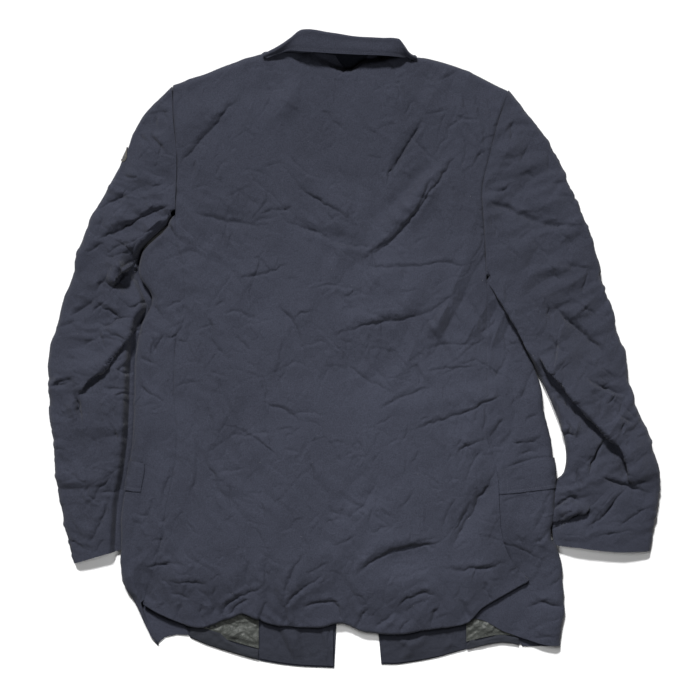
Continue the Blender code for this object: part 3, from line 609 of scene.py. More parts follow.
BODY_CREASES = lines_from(Crease, """
2.3 2.6 -0.7 -155 348 -175 322 -221 274 -235 255 -241 238
1.5 2.2 0.4 -215 257 -220 244 -224 226
5.2 2.3 0.4 96 317 60 257 41 221
1.4 2.6 -0.3 150 290 151 267 147 241
1.6 2.4 0.4 159 252 170 263 179 274
3.6 3.6 -0.9 148 277 140 260 118 235 61 157 42 139 -3 114
2.4 2.4 0.6 112 235 85 197 75 175
2.0 2.0 0.3 -96 241 -60 205 8 170
1.7 1.8 -0.3 -99 271 -63 237 -38 228
1.4 1.8 0.2 -43 326 -30 313 -12 296
1.0 1.6 0.2 16 302 24 295 34 289
2.0 2.2 0.5 -230 188 -132 166 -107 169
1.7 1.9 0.4 -133 181 -108 188 -79 194
1.6 1.8 -0.4 -139 170 -119 176 -97 184
2.6 2.4 -0.6 -103 173 -50 158 -3 137 35 139
2.0 2.2 0.5 -164 95 -144 97 -88 114
1.7 2.2 0.5 1 114 72 108 115 119 177 111
2.3 3.0 -0.7 148 89 107 49 83 42 21 34 -39 17
2.4 2.6 0.5 135 79 107 42 81 9
1.8 1.8 0.4 132 56 139 45 147 31
1.4 2.0 0.3 154 67 165 50 173 37
1.0 1.7 -0.3 8 106 10 89 12 71
1.6 2.4 -0.4 248 -23 237 -38 226 -74
1.7 2.0 0.3 79 -14 88 -26 90 -38 85 -59
1.3 2.0 0.4 88 -30 112 -31 173 -24
1.2 1.7 0.3 119 -39 132 -32 148 -28
1.9 2.2 0.5 27 -86 79 -60 107 -52
2.2 2.4 0.5 70 -114 157 -85 213 -59
1.8 2.0 0.4 180 -71 180 -96 177 -124
1.6 2.0 -0.4 208 -92 195 -108 183 -125
1.2 2.0 -0.4 256 -88 242 -95 230 -103
1.7 2.2 -0.5 181 -124 148 -133 135 -152
1.8 2.2 0.4 173 -133 159 -166 148 -184
1.2 1.8 -0.3 90 -136 86 -147 79 -161
1.3 2.0 -0.3 -5 -110 16 -143 23 -165
1.6 2.0 0.4 -107 67 -96 49 -81 34 -70 -5
1.6 1.9 0.4 -170 26 -148 2 -136 -6
1.9 2.0 -0.4 -183 49 -158 49 -126 37
1.7 2.4 0.4 -206 52 -198 34 -194 14 -186 -2 -170 -20
1.5 2.6 -0.3 -224 39 -226 21 -227 3
2.0 2.2 -0.5 -263 52 -246 61 -228 68
1.8 2.4 -0.4 -260 23 -266 9 -275 -8
2.0 2.0 0.5 -260 23 -252 16 -244 17 -234 27 -231 50
1.5 1.8 -0.3 -245 16 -246 -1 -246 -19
1.7 1.8 -0.3 -297 -12 -285 -19 -266 -21
1.7 2.1 0.4 -296 -41 -289 -55 -277 -66 -256 -75
1.3 2.2 0.3 -90 -19 -106 -55 -112 -71
1.9 2.1 0.5 -128 -72 -92 -86 -74 -97
1.6 1.7 -0.4 -187 -169 -169 -168 -147 -162
1.7 2.3 0.4 -206 -147 -198 -162 -187 -181
1.5 2.2 -0.3 -172 -118 -157 -121 -139 -119
1.8 2.6 -0.5 -245 -157 -260 -201 -263 -230
1.7 2.2 -0.3 -273 -201 -279 -220 -286 -242
1.9 2.8 0.5 -256 -242 -262 -264 -278 -297
1.7 2.0 0.3 -290 -302 -264 -296 -228 -296
2.0 2.2 0.5 -257 -319 -230 -318 -195 -322
1.6 2.0 -0.3 -260 -332 -239 -336 -220 -344
1.5 2.2 -0.3 -191 -319 -193 -344 -191 -371
2.0 2.8 0.4 -143 -286 -144 -306 -148 -325
1.9 2.6 -0.4 -119 -277 -121 -303 -121 -331
2.8 2.6 -0.8 -122 -326 -166 -344 -179 -358 -186 -373
2.4 3.0 -0.6 -63 -274 -86 -306 -99 -358
2.4 2.4 -0.5 -100 -358 -81 -337 -41 -308
3.0 4.6 -0.6 199 -162 166 -213 130 -277
3.0 3.4 -0.8 128 -263 104 -270 46 -277 10 -299 -6 -317
2.4 2.8 0.5 112 -299 176 -304 212 -292
2.6 2.6 0.6 59 -354 79 -336 104 -333 115 -342
1.8 2.2 0.4 210 -130 233 -128 259 -124
1.5 1.9 -0.3 223 -146 237 -143 252 -139
1.8 2.6 -0.4 263 -209 256 -228 245 -252
1.4 2.0 0.3 219 -252 223 -260 230 -268
2.4 2.4 0.6 266 -250 257 -259 246 -270
2.6 3.2 0.6 233 -357 250 -351 271 -350 288 -358
1.8 2.6 -0.3 164 359 175 307 183 263
1.3 2.0 -0.3 181 343 186 329 191 315
1.3 2.0 -0.3 148 348 154 326 157 304
0.9 1.7 0.3 -151 246 -137 242 -119 235
0.9 1.7 -0.3 -106 263 -100 246 -67 219
0.9 1.6 0.2 -31 226 -13 210 -3 199
1.0 1.8 0.3 41 221 55 238 66 255
0.9 1.7 0.3 74 141 90 150 106 155
0.8 1.6 0.3 129 169 133 159 139 152
0.9 1.6 0.3 -24 50 -6 55 10 55
1.0 1.7 -0.3 -81 3 -59 5 -34 10
1.0 1.8 0.3 -35 14 -17 9 2 6
0.9 1.7 0.3 2 6 23 -1 66 -6
0.9 1.6 0.3 57 -9 68 -20 77 -27
0.9 1.6 -0.2 49 -19 61 -24 70 -35
0.8 1.8 0.3 -158 -10 -141 -21 -128 -31
0.9 1.8 -0.3 -194 -24 -187 -43 -179 -66
0.9 1.8 0.3 -164 -27 -158 -46 -150 -68
1.0 1.8 -0.3 -227 -19 -228 -50 -230 -78
1.0 1.8 0.3 -246 -24 -246 -49 -248 -74
0.8 1.6 0.3 -114 -115 -96 -110 -79 -110
0.8 1.6 0.3 -75 -97 -59 -100 -41 -108
0.9 1.7 0.3 -99 -124 -83 -112 -72 -103
0.8 1.6 0.3 -45 -115 -32 -128 -28 -143
0.8 1.6 -0.3 38 -135 56 -125 77 -121
0.9 1.7 0.3 24 -104 41 -100 60 -90
1.0 1.9 0.3 57 -226 71 -209 85 -190
0.9 1.7 0.3 83 -264 100 -262 118 -255
0.8 1.7 0.3 -150 -199 -133 -198 -117 -193
0.9 1.8 -0.3 -205 -199 -197 -219 -187 -235
0.8 1.6 0.3 -128 -209 -125 -227 -117 -238
0.9 1.8 0.3 -136 -241 -128 -259 -119 -277
1.2 2.4 -0.3 -181 -292 -172 -308 -164 -326
1.3 2.2 0.3 -175 -328 -164 -340 -158 -353
1.1 2.0 -0.3 -34 -292 -50 -300 -67 -310
1.0 2.0 0.3 -75 -241 -70 -259 -64 -275
0.9 1.8 -0.3 -12 -206 -20 -226 -26 -242
0.8 1.8 -0.3 24 -213 20 -233 24 -250
1.0 2.0 -0.3 135 -209 128 -227 118 -244
1.1 2.2 0.3 -34 -271 -13 -266 5 -256
1.0 2.0 -0.2 16 -255 35 -246 53 -237
0.9 1.6 0.3 -284 -264 -268 -262 -252 -266
1.0 1.8 0.3 -310 -231 -295 -238 -282 -246
0.9 1.8 0.3 -303 -264 -295 -281 -290 -296
1.1 2.2 -0.3 217 -106 209 -121 198 -136
1.1 2.2 -0.3 237 -57 220 -70 212 -83
1.3 2.4 0.3 209 -5 201 -27 191 -43
1.0 2.2 -0.3 190 26 186 6 181 -12
1.0 2.0 -0.2 228 -292 220 -303 209 -311
1.3 2.4 0.4 264 -324 278 -318 286 -311
1.6 2.4 -0.4 -144 -5 -128 -27 -119 -60 -122 -99
1.4 2.2 0.3 -205 -68 -194 -99 -191 -135
1.5 2.2 -0.4 -219 -112 -213 -143 -216 -179 -227 -209
1.5 2.4 -0.4 -177 -168 -166 -204 -169 -237
1.4 2.2 0.4 -75 -126 -59 -157 -53 -195
1.4 2.4 0.4 -14 -16 8 -38 57 -66
1.4 2.2 -0.4 -59 81 -34 86 -6 83 24 72
1.5 2.4 0.4 90 -2 118 6 148 6 176 -2
1.4 2.2 -0.4 159 -206 148 -237 129 -256
1.5 2.4 0.4 35 -168 24 -198 8 -220 -14 -237
2.6 2.6 0.6 -128 -377 -125 -358 -117 -342
2.4 2.4 -0.5 -95 -386 -93 -366 -97 -347
2.6 2.4 -0.5 -17 -376 -23 -355 -34 -339
2.2 2.4 0.4 2 -387 10 -366 24 -350
2.4 2.2 -0.5 24 -391 41 -372 57 -358
2.0 2.4 0.4 103 -387 107 -366 118 -350
2.4 2.4 -0.5 161 -372 148 -355 140 -339
2.2 2.4 -0.5 -204 -384 -208 -364 -216 -347
2.0 2.2 0.4 -245 -376 -241 -361 -233 -350
2.4 2.2 -0.5 -177 -372 -161 -353 -141 -344
2.0 2.2 -0.5 191 -347 181 -331 170 -317
2.6 2.4 0.6 -75 -353 -45 -347 -13 -344
1.8 2.2 0.4 63 -391 68 -375 79 -364
""")
BODY_SWELLS = lines_from(Swell, """
-2.2 14 -75 368 -117 359 -151 343 -175 315
1.8 16 -50 354 -81 343 -144 296
1.4 18 -206 343 -227 318 -235 288
-1.8 15 -103 274 -75 253 -34 233 -6 212
1.6 16 -34 274 -3 253 24 235
1.6 13 56 161 90 202 125 246
-1.8 12 118 198 97 166 68 136
1.7 14 14 90 63 81 118 88
-1.8 12 -13 119 -34 136 -75 155
2.2 14 135 67 112 37 96 12
-1.9 14 118 37 148 17 159 -5
1.7 20 -199 115 -219 81 -213 26
-1.7 18 -172 67 -152 26 -128 -5
1.6 22 -34 67 8 26 24 -16
-1.5 20 63 -2 8 -50 -34 -71
1.5 20 -227 -99 -213 -154 -227 -209
1.9 14 104 -133 135 -124 173 -110
-1.6 16 63 -168 104 -168 132 -157
1.6 20 -34 -140 -13 -181 -20 -223
-1.8 15 -144 -147 -128 -181 -137 -216
2.0 14 228 -216 228 -244 220 -271
-2.4 17 184 -181 157 -231 135 -271
2.4 13 208 -179 187 -216 162 -264
-2.6 16 118 -281 70 -292 24 -311
2.2 12 104 -262 56 -259 8 -281
2.0 14 -75 -292 -50 -281 -20 -271
-2.0 12 -106 -292 -114 -326 -119 -355
2.2 12 -161 -292 -169 -319 -177 -347
-1.8 13 -206 -299 -219 -326 -230 -353
1.8 14 -268 -306 -241 -308 -213 -306
-1.6 13 -75 12 -61 -30 -75 -64
1.4 15 -130 -43 -96 -64 -55 -85
-1.6 14 135 -50 173 -46 208 -32
1.6 14 146 -64 187 -55 221 -41
2.0 11 -260 42 -268 23 -275 3
""")
LEFT_SLEEVE_CREASES = lines_from(Crease, """
1.6 1.9 0.3 -277 324 -264 325 -249 325
1.6 1.8 0.3 -271 325 -273 310 -271 293
2.8 2.6 0.6 -279 296 -268 281 -257 266
1.7 2.0 0.4 -296 295 -286 286 -277 275
1.7 2.0 0.4 -317 237 -307 233 -295 233
1.5 1.8 0.3 -282 224 -268 223 -256 224
1.8 2.4 0.5 -353 186 -333 201 -304 209
3.8 3.0 -0.7 -244 197 -279 187 -355 147
2.6 2.8 -0.5 -257 175 -296 150 -343 130
2.2 2.4 0.5 -368 128 -354 139 -336 148
2.4 2.6 -0.5 -348 132 -335 126 -321 125 -304 140
2.2 2.2 -0.5 -332 111 -346 90 -353 70
3.4 2.8 -0.8 -335 85 -302 128 -282 146
2.0 2.4 0.4 -358 49 -348 59 -340 70
2.4 2.4 0.5 -390 41 -362 61 -354 68
2.6 2.6 -0.5 -357 39 -340 31 -321 42 -300 41
3.4 2.6 0.6 -354 63 -337 50 -318 42
2.4 2.2 0.5 -417 -48 -401 -50 -383 -45
1.8 2.2 0.4 -373 2 -357 13 -340 26
1.6 2.0 0.4 -388 -8 -386 -16 -382 -26
2.8 2.6 -0.5 -380 -59 -377 -89 -371 -111
2.2 2.2 -0.4 -350 -55 -329 -57 -304 -56
1.8 2.2 -0.4 -336 -60 -332 -77 -328 -97
1.9 2.6 -0.4 -328 -164 -353 -204 -376 -227
2.0 2.4 -0.5 -348 -197 -332 -199 -314 -194
2.2 3.0 -0.5 -335 -204 -343 -230 -366 -275
1.6 2.0 0.3 -357 -281 -351 -270 -343 -260
1.3 2.2 -0.3 -285 244 -274 235 -255 233
1.3 2.0 -0.3 -310 219 -318 205 -335 194
1.4 2.2 0.4 -406 26 -393 31 -373 37
1.3 2.2 -0.4 -324 12 -335 17 -351 14
1.5 2.2 -0.3 -313 -5 -324 -16 -335 -24
1.2 2.2 -0.3 -404 -68 -398 -88 -398 -112
1.1 2.0 -0.3 -357 -112 -351 -135 -354 -154
1.1 2.0 0.3 -393 -168 -379 -179 -362 -184
2.2 2.4 -0.5 -313 119 -324 95 -335 67
2.4 2.4 0.5 -282 67 -299 59 -318 59
3.0 2.4 -0.6 -300 -5 -313 -19 -325 -32
2.6 2.2 0.5 -300 -32 -315 -32 -329 -24
3.0 2.4 -0.6 -300 -64 -314 -60 -328 -67
2.2 2.0 -0.4 -303 -82 -313 -74 -325 -72
2.4 2.2 0.5 -324 -115 -314 -110 -304 -104
2.0 2.0 0.4 -335 -99 -326 -121 -322 -143
2.6 2.4 -0.6 -380 -60 -377 -82 -373 -104
2.2 2.0 0.5 -417 -52 -398 -43 -379 -41
2.0 2.2 0.4 -346 26 -326 20 -310 9
""")
RIGHT_SLEEVE_CREASES = lines_from(Crease, """
5.0 4.0 -0.7 267 -231 281 -212 299 -202 319 -220
5.0 3.6 0.7 267 -250 292 -234 319 -217
2.4 2.2 -0.5 303 -165 308 -181 314 -201
3.4 2.4 0.6 284 -126 292 -115 303 -121
3.6 2.4 0.6 292 -96 295 -110 292 -126
3.4 2.6 0.6 278 -63 292 -77 297 -88
1.8 2.0 -0.4 219 321 216 296 210 271
2.4 2.0 0.5 177 223 193 212 205 219 216 231
3.8 3.0 0.7 177 205 194 195 271 166 314 166
2.0 2.4 0.5 274 164 288 152 306 139
2.0 1.9 0.4 184 188 188 172 195 161 190 150
1.6 2.0 0.4 224 147 234 155 245 164
1.6 2.0 0.4 244 152 253 137 266 125
1.8 2.0 0.4 257 124 273 104 286 86
1.4 1.9 -0.3 264 268 266 253 267 235
1.3 1.8 0.3 263 226 278 226 293 227
1.3 1.8 -0.3 262 209 275 206 290 206
1.7 2.2 -0.4 319 107 315 90 311 72
2.6 1.5 0.4 253 81 263 56 275 27
3.6 2.8 0.7 268 63 322 10 335 1 347 -16
1.8 2.2 0.4 293 70 314 56 337 39
2.0 2.4 0.5 267 24 274 1 284 -6 296 -5
3.4 2.6 -0.8 308 -38 347 -55 377 -67
2.0 2.0 0.4 340 -78 350 -74 358 -63
2.0 2.0 -0.4 354 -82 364 -95 390 -101
1.8 2.0 0.4 359 -122 364 -111 371 -100
1.6 1.8 -0.3 371 -126 373 -135 376 -144
3.0 2.6 -0.6 347 -118 325 -157 319 -181
2.4 2.4 0.5 303 -162 307 -176 313 -194
3.6 2.8 0.7 331 -169 347 -180 366 -187 408 -197
2.8 2.8 -0.6 372 -188 344 -228 313 -250
3.2 2.8 0.6 308 -213 292 -224 273 -241
2.2 2.2 0.5 286 -195 300 -206 314 -220
1.5 2.0 0.4 353 -248 380 -231 411 -212
1.3 1.8 0.3 328 -259 359 -253 394 -248
1.2 2.0 0.3 284 205 300 197 314 186
1.2 2.0 0.3 228 246 242 238 250 224
1.3 2.0 0.3 208 143 217 128 223 111
1.4 2.2 -0.4 248 26 237 37 226 50
1.5 2.2 0.4 333 -24 344 -35 358 -43
1.4 2.2 0.4 284 119 303 111 325 108
1.2 2.0 -0.3 242 288 234 271 223 252
""")

SIDE_HEM_LEFT = Table("f y", "0 -343; 4 -350; 5.5 -378; 6.8 -398; 8.2 -409; 9.2 -401; 9.8 -395; 11 -394")
NECK_FOLD = Table("x y", "-81 403; -53 391; -26 379; -12 374; -2 376; 10 384; 35 388; 61 395")

SLEEVE_CREASES = {Side.LEFT: LEFT_SLEEVE_CREASES, Side.RIGHT: RIGHT_SLEEVE_CREASES}

BODY_BOX = (-310.0, 285.0, -400.0, 400.0)
BODY_SMALL_CREASES = small_creases(640, 5, BODY_BOX) + small_creases(110, 15, BODY_BOX, 2.1)
SLEEVE_BOXES = {
    Side.LEFT: (-420.0, -250.0, -290.0, 350.0),
    Side.RIGHT: (190.0, 420.0, -280.0, 350.0),
}
SLEEVE_SMALL_CREASES = {
    side: small_creases(220, 6 + count, box) + small_creases(28, 16 + count, box, 1.9)
    for count, (side, box) in enumerate(SLEEVE_BOXES.items())
}

SIDE_CREASES = lines_from(Crease, """
2.2 2.2 0.5 -276 62 -268 50 -262 44
1.5 1.5 0.0 -318 -150 -303 -153 -288 -157 -286 -176 -289 -197
1.8 1.6 0.2 199 -165 224 -157 246 -150 275 -148
1.6 1.8 0.3 203 -165 198 -182 197 -210 197 -264
""")

LINING_CREASES = lines_from(Crease, """
6.0 3.2 0.6 -112 -378 -100 -402 -84 -432
5.0 2.8 -0.5 -78 -380 -70 -404 -66 -430
5.5 3.0 0.6 -52 -378 -46 -400 -44 -434
4.0 2.4 0.5 -34 -384 -36 -408 -33 -436
6.0 2.8 -0.7 60 -396 82 -400 98 -392
4.5 3.0 0.6 74 -402 66 -416 60 -430
4.0 3.0 0.6 132 -392 122 -404 112 -424
2.6 3.0 0.6 -222 -392 -205 -383 -186 -384
2.8 2.8 -0.6 -190 -402 -176 -392 -160 -376
2.2 2.6 0.6 -170 -412 -158 -398 -146 -380
2.0 2.4 0.5 -150 -418 -142 -404 -136 -388
1.8 2.4 0.5 160 -392 176 -388 192 -396
1.8 2.4 -0.5 168 -404 184 -400 204 -402
""")

SLEEVE_OVERLAPS = {
    Side.LEFT: lines_from(Overlap, """
7.0 8.0 26 11 5.0 0.16 -378 -66 -371 -45 -344 -26 -339 -14 -302 28
11.0 17.0 13 28 5.0 0.1 -335 86 -321 104 -305 124 -284 148 -258 174
"""),
    Side.RIGHT: lines_from(Overlap, """
6.0 8.0 14 11 4.0 0.2 268 -246 280 -241 296 -232 324 -215
9.0 14.0 40 19 7.0 0.1 256 -10 272 -31 297 -61 324 -90 350 -115 374 -140 379 -160 381 -186
"""),
}


# ---------------------------------------------------------------- form of the body
@dataclass(frozen=True)
class Lift:
    """A part of the floor layer raised by something that lies beneath it."""

    x0: float
    x1: float
    y0: float
    y1: float
    height: float
    ramp: float

    def at(self, x: Array, y: Array) -> Array:
        """Height of the raised part at each place."""
        across = ease(self.x0 - self.ramp, self.x0, x) * ease(self.x1 + self.ramp, self.x1, x)
        down = ease(self.y0 - self.ramp, self.y0, y) * ease(self.y1 + self.ramp, self.y1, y)
        return self.height * across * down


SLEEVE_LIFT = Lift(-420, -256, -284, 94, 8.4, 50)
FLAP_LIFTS = (Lift(-330, -246, -214, -134, 3.1, 24), Lift(214, 330, -214, -132, 3.1, 24))
LAPEL_LIFT = Lift(-170, 150, 120, 420, 2.1, 34)


@dataclass
class BodyForm:
    """Form of the body of the tunic, which every piece of it is cut to lie on."""

    wall: float = 2.0
    thin_wall: float = 1.4
    seam_gap: float = 0.5
    layer_gap: float = 0.5
    crown: float = 25.0
    side_height: float = 20.0
    shoulder_height: float = 18.0
    hem_height: float = 14.5
    roll_width: float = 9.0
    sewn_gap: float = 0.08
    neck_hollow: float = 15.0
    side_reach: float = 95.0
    shoulder_reach: float = 70.0
    hem_reach: float = 75.0
    vent_top: float = -128.0
    left_pit: float = 177.0
    right_pit: float = 89.0
    crease_gain: float = 1.25
    sides: Table = BACK_SIDES
    left: Table = LEFT_EDGE
    right: Table = RIGHT_EDGE
    under: Table = UNDER_SEAM
    top: Table = BACK_TOP
    hem: Table = BACK_HEM
    neck: Table = NECK_FOLD

    def pit(self, side: Side) -> float:
        """Height of the underarm on one side."""
        return self.left_pit if side is Side.LEFT else self.right_pit

    def edge(self, side: Side, y: Array | float) -> Array:
        """Where the folded side of the body lies."""
        return (self.left if side is Side.LEFT else self.right).read("x", y)

    def back_edge(self, side: Side, y: Array | float) -> Array:
        """Where the back ends at one side."""
        return self.sides.read(side.label, y)

    def floor(self, x: Array, y: Array) -> Array:
        """Middle of the wall of the layer that lies on the floor."""
        flaps = np.maximum(FLAP_LIFTS[0].at(x, y), FLAP_LIFTS[1].at(x, y))
        return self.wall / 2 + SLEEVE_LIFT.at(x, y) + flaps + LAPEL_LIFT.at(x, y)

    def upper(self, x: Array, y: Array) -> Array:
        """Middle of the wall of the layer that lies upward, without its fine creases.

        Args:
            x: places across.
            y: places along.
        Returns:
            Height at each place.
        """
        x, y = matched(x, y)
        from_left = x - self.left.read("x", y)
        from_right = self.right.read("x", y) - x
        over_left = ease(self.left_pit - 70, self.left_pit + 12, y)
        over_right = ease(self.right_pit - 60, self.right_pit + 14, y)
        left = lerp(ease(0, self.side_reach, from_left), 1.0, over_left)
        right = lerp(ease(0, self.side_reach, from_right), 1.0, over_right)
        low = np.where(x < 0, 0.0, ease(-75, -30, y) * ease(150, 80, y))
        z = lerp(self.side_height - 7.0 * low, self.crown, np.minimum(left, right))
        top, hem = self.top.read("y", x), self.hem.read("y", x)
        z = lerp(np.minimum(z, self.shoulder_height), z, ease(4, self.shoulder_reach, top - y))
        z = lerp(np.minimum(z, self.hem_height), z, ease(0, self.hem_reach, y - hem))
        z = z - self.hollow(x, y)
        inner = ease(8, 32, from_left + 300.0 * ease(146, 188, y))
        inner = inner * ease(8, 32, from_right + 300.0 * ease(56, 100, y))
        inner = inner * ease(6, 26, top - y) * ease(6, 24, y - hem)
        return z + total_height(SOFT_FOLDS, x, y) * inner

    def hollow(self, x: Array, y: Array) -> Array:
        """Depth of the dip behind the neck, beneath the collar's fall."""
        start = self.neck.read("y", x)
        share = lerp(0.34, 1.0, ease(-40, -12, x)) * ease(-92, -70, x) * ease(74, 58, x)
        return self.neck_hollow * share * ease(start, start + 12.0, y)

    def creases(self, x: Array, y: Array) -> Array:
        """Height of the creases pressed into the upward layer.

        Args:
            x: places across.
            y: places along.
        Returns:
            Height to add along the cloth's normal.
        """
        x, y = matched(x, y)
        moved = wander(x, y)
        sharp = total_height(BODY_CREASES, *moved) + total_height(BODY_SMALL_CREASES, *moved)
        sharp = sharp * (1 + 0.35 * noise(x / 8, y / 8, 305))
        soft = total_height(BODY_SWELLS, x, y)
        worn = 0.55 + 0.45 * noise(x / 90, y / 90, 7)
        busy = worn + 0.8 * np.exp(-(((x - 165) / 80) ** 2 + ((y - 20) / 90) ** 2))
        facets = 3.8 * crumple(x, y, 36.0, 11) + 1.8 * crumple(x, y, 17.0, 23)
        facets = facets + 0.34 * crumple(x, y, 7.0, 29)
        waves = 0.9 * noise(x / 62, y / 48, 31) + 0.5 * noise(x / 27, y / 31, 37)
        grooves = np.zeros_like(x)
        for side in Side:
            beside = x - self.back_edge(side, y)
            sewn = ease(self.vent_top - 14, self.vent_top + 8, y)
            deep = 0.35 + 2.0 * ease(self.pit(side) - 12, self.pit(side) + 16, y)
            deep = deep * (1 + 0.6 * noise(x / 40, y / 16, 43))
            grooves -= deep * sewn * np.exp(-np.abs(beside) / 1.7)
        return self.crease_gain * (sharp + soft) + facets * busy + waves + grooves


def coons(bottom: Callable, top: Callable, left: Callable, right: Callable) -> Callable:
    """Plan of a piece between its four edges.

    Args:
        bottom: edge read by the share across.
        top: edge read by the share across.
        left: edge read by the share along.
        right: edge read by the share along.
    Returns:
        Function of the two shares that gives the places in plan.
    """
    corners = [bottom(0.0), bottom(1.0), top(0.0), top(1.0)]

    def place(u: Array, v: Array) -> Plan:
        """Place in plan.

        Args:
            u: share across.
            v: share along.
        Returns:
            The places across and along.
        """
        out = []
        low_edge, high_edge, first, last = bottom(u), top(u), left(v), right(v)
        for k in (0, 1):
            across = (1 - v) * low_edge[k] + v * high_edge[k]
            down = (1 - u) * first[k] + u * last[k]
            low = (1 - u) * corners[0][k] + u * corners[1][k]
            high = (1 - u) * corners[2][k] + u * corners[3][k]
            out.append(across + down - (1 - v) * low - v * high)
        return out[0], out[1]

    return place


# ---------------------------------------------------------------- cloth shells
def metres(points: Array) -> list[list[float]]:
    """Points of the garment as places in the frame."""
    return ((np.asarray(points) - MIDDLE) * MM).tolist()


def add_object(name: str, data: bpy.types.ID) -> bpy.types.Object:
    """Add an object to the scene."""
    made = bpy.data.objects.new(name, data)
    bpy.context.scene.collection.objects.link(made)
    return made


def normals_from(a: Array, b: Array) -> Array:
    """Unit normals from the slopes of a surface in two directions."""
    normal = np.cross(a, b)
    return normal / np.maximum(np.linalg.norm(normal, axis=-1, keepdims=True), 1e-9)


def turned_to(normal: Array, out: Array) -> Array:
    """Normals turned to the side of out."""
    return normal * np.where((normal * out).sum(axis=-1, keepdims=True) < 0, -1.0, 1.0)


def reads(items: bpy.types.bpy_prop_collection, name: str, width: int = 1) -> Array:
    """One whole-number property of all items of a mesh."""
    values = np.empty(len(items) * width, int)
    items.foreach_get(name, values)
    return values


def travelled(points: Array, axis: int) -> Array:
    """Lengths of the steps between points along one axis of a grid."""
    return np.linalg.norm(np.diff(points, axis=axis), axis=2)


def stations(count: int, step: int) -> Array:
    """Every step-th place of a row of places, with the last one."""
    places = list(range(0, count - 1, step))
    if len(places) > 1 and count - 1 - places[-1] < step / 2:
        places.pop()
    return np.array(places + [count - 1])


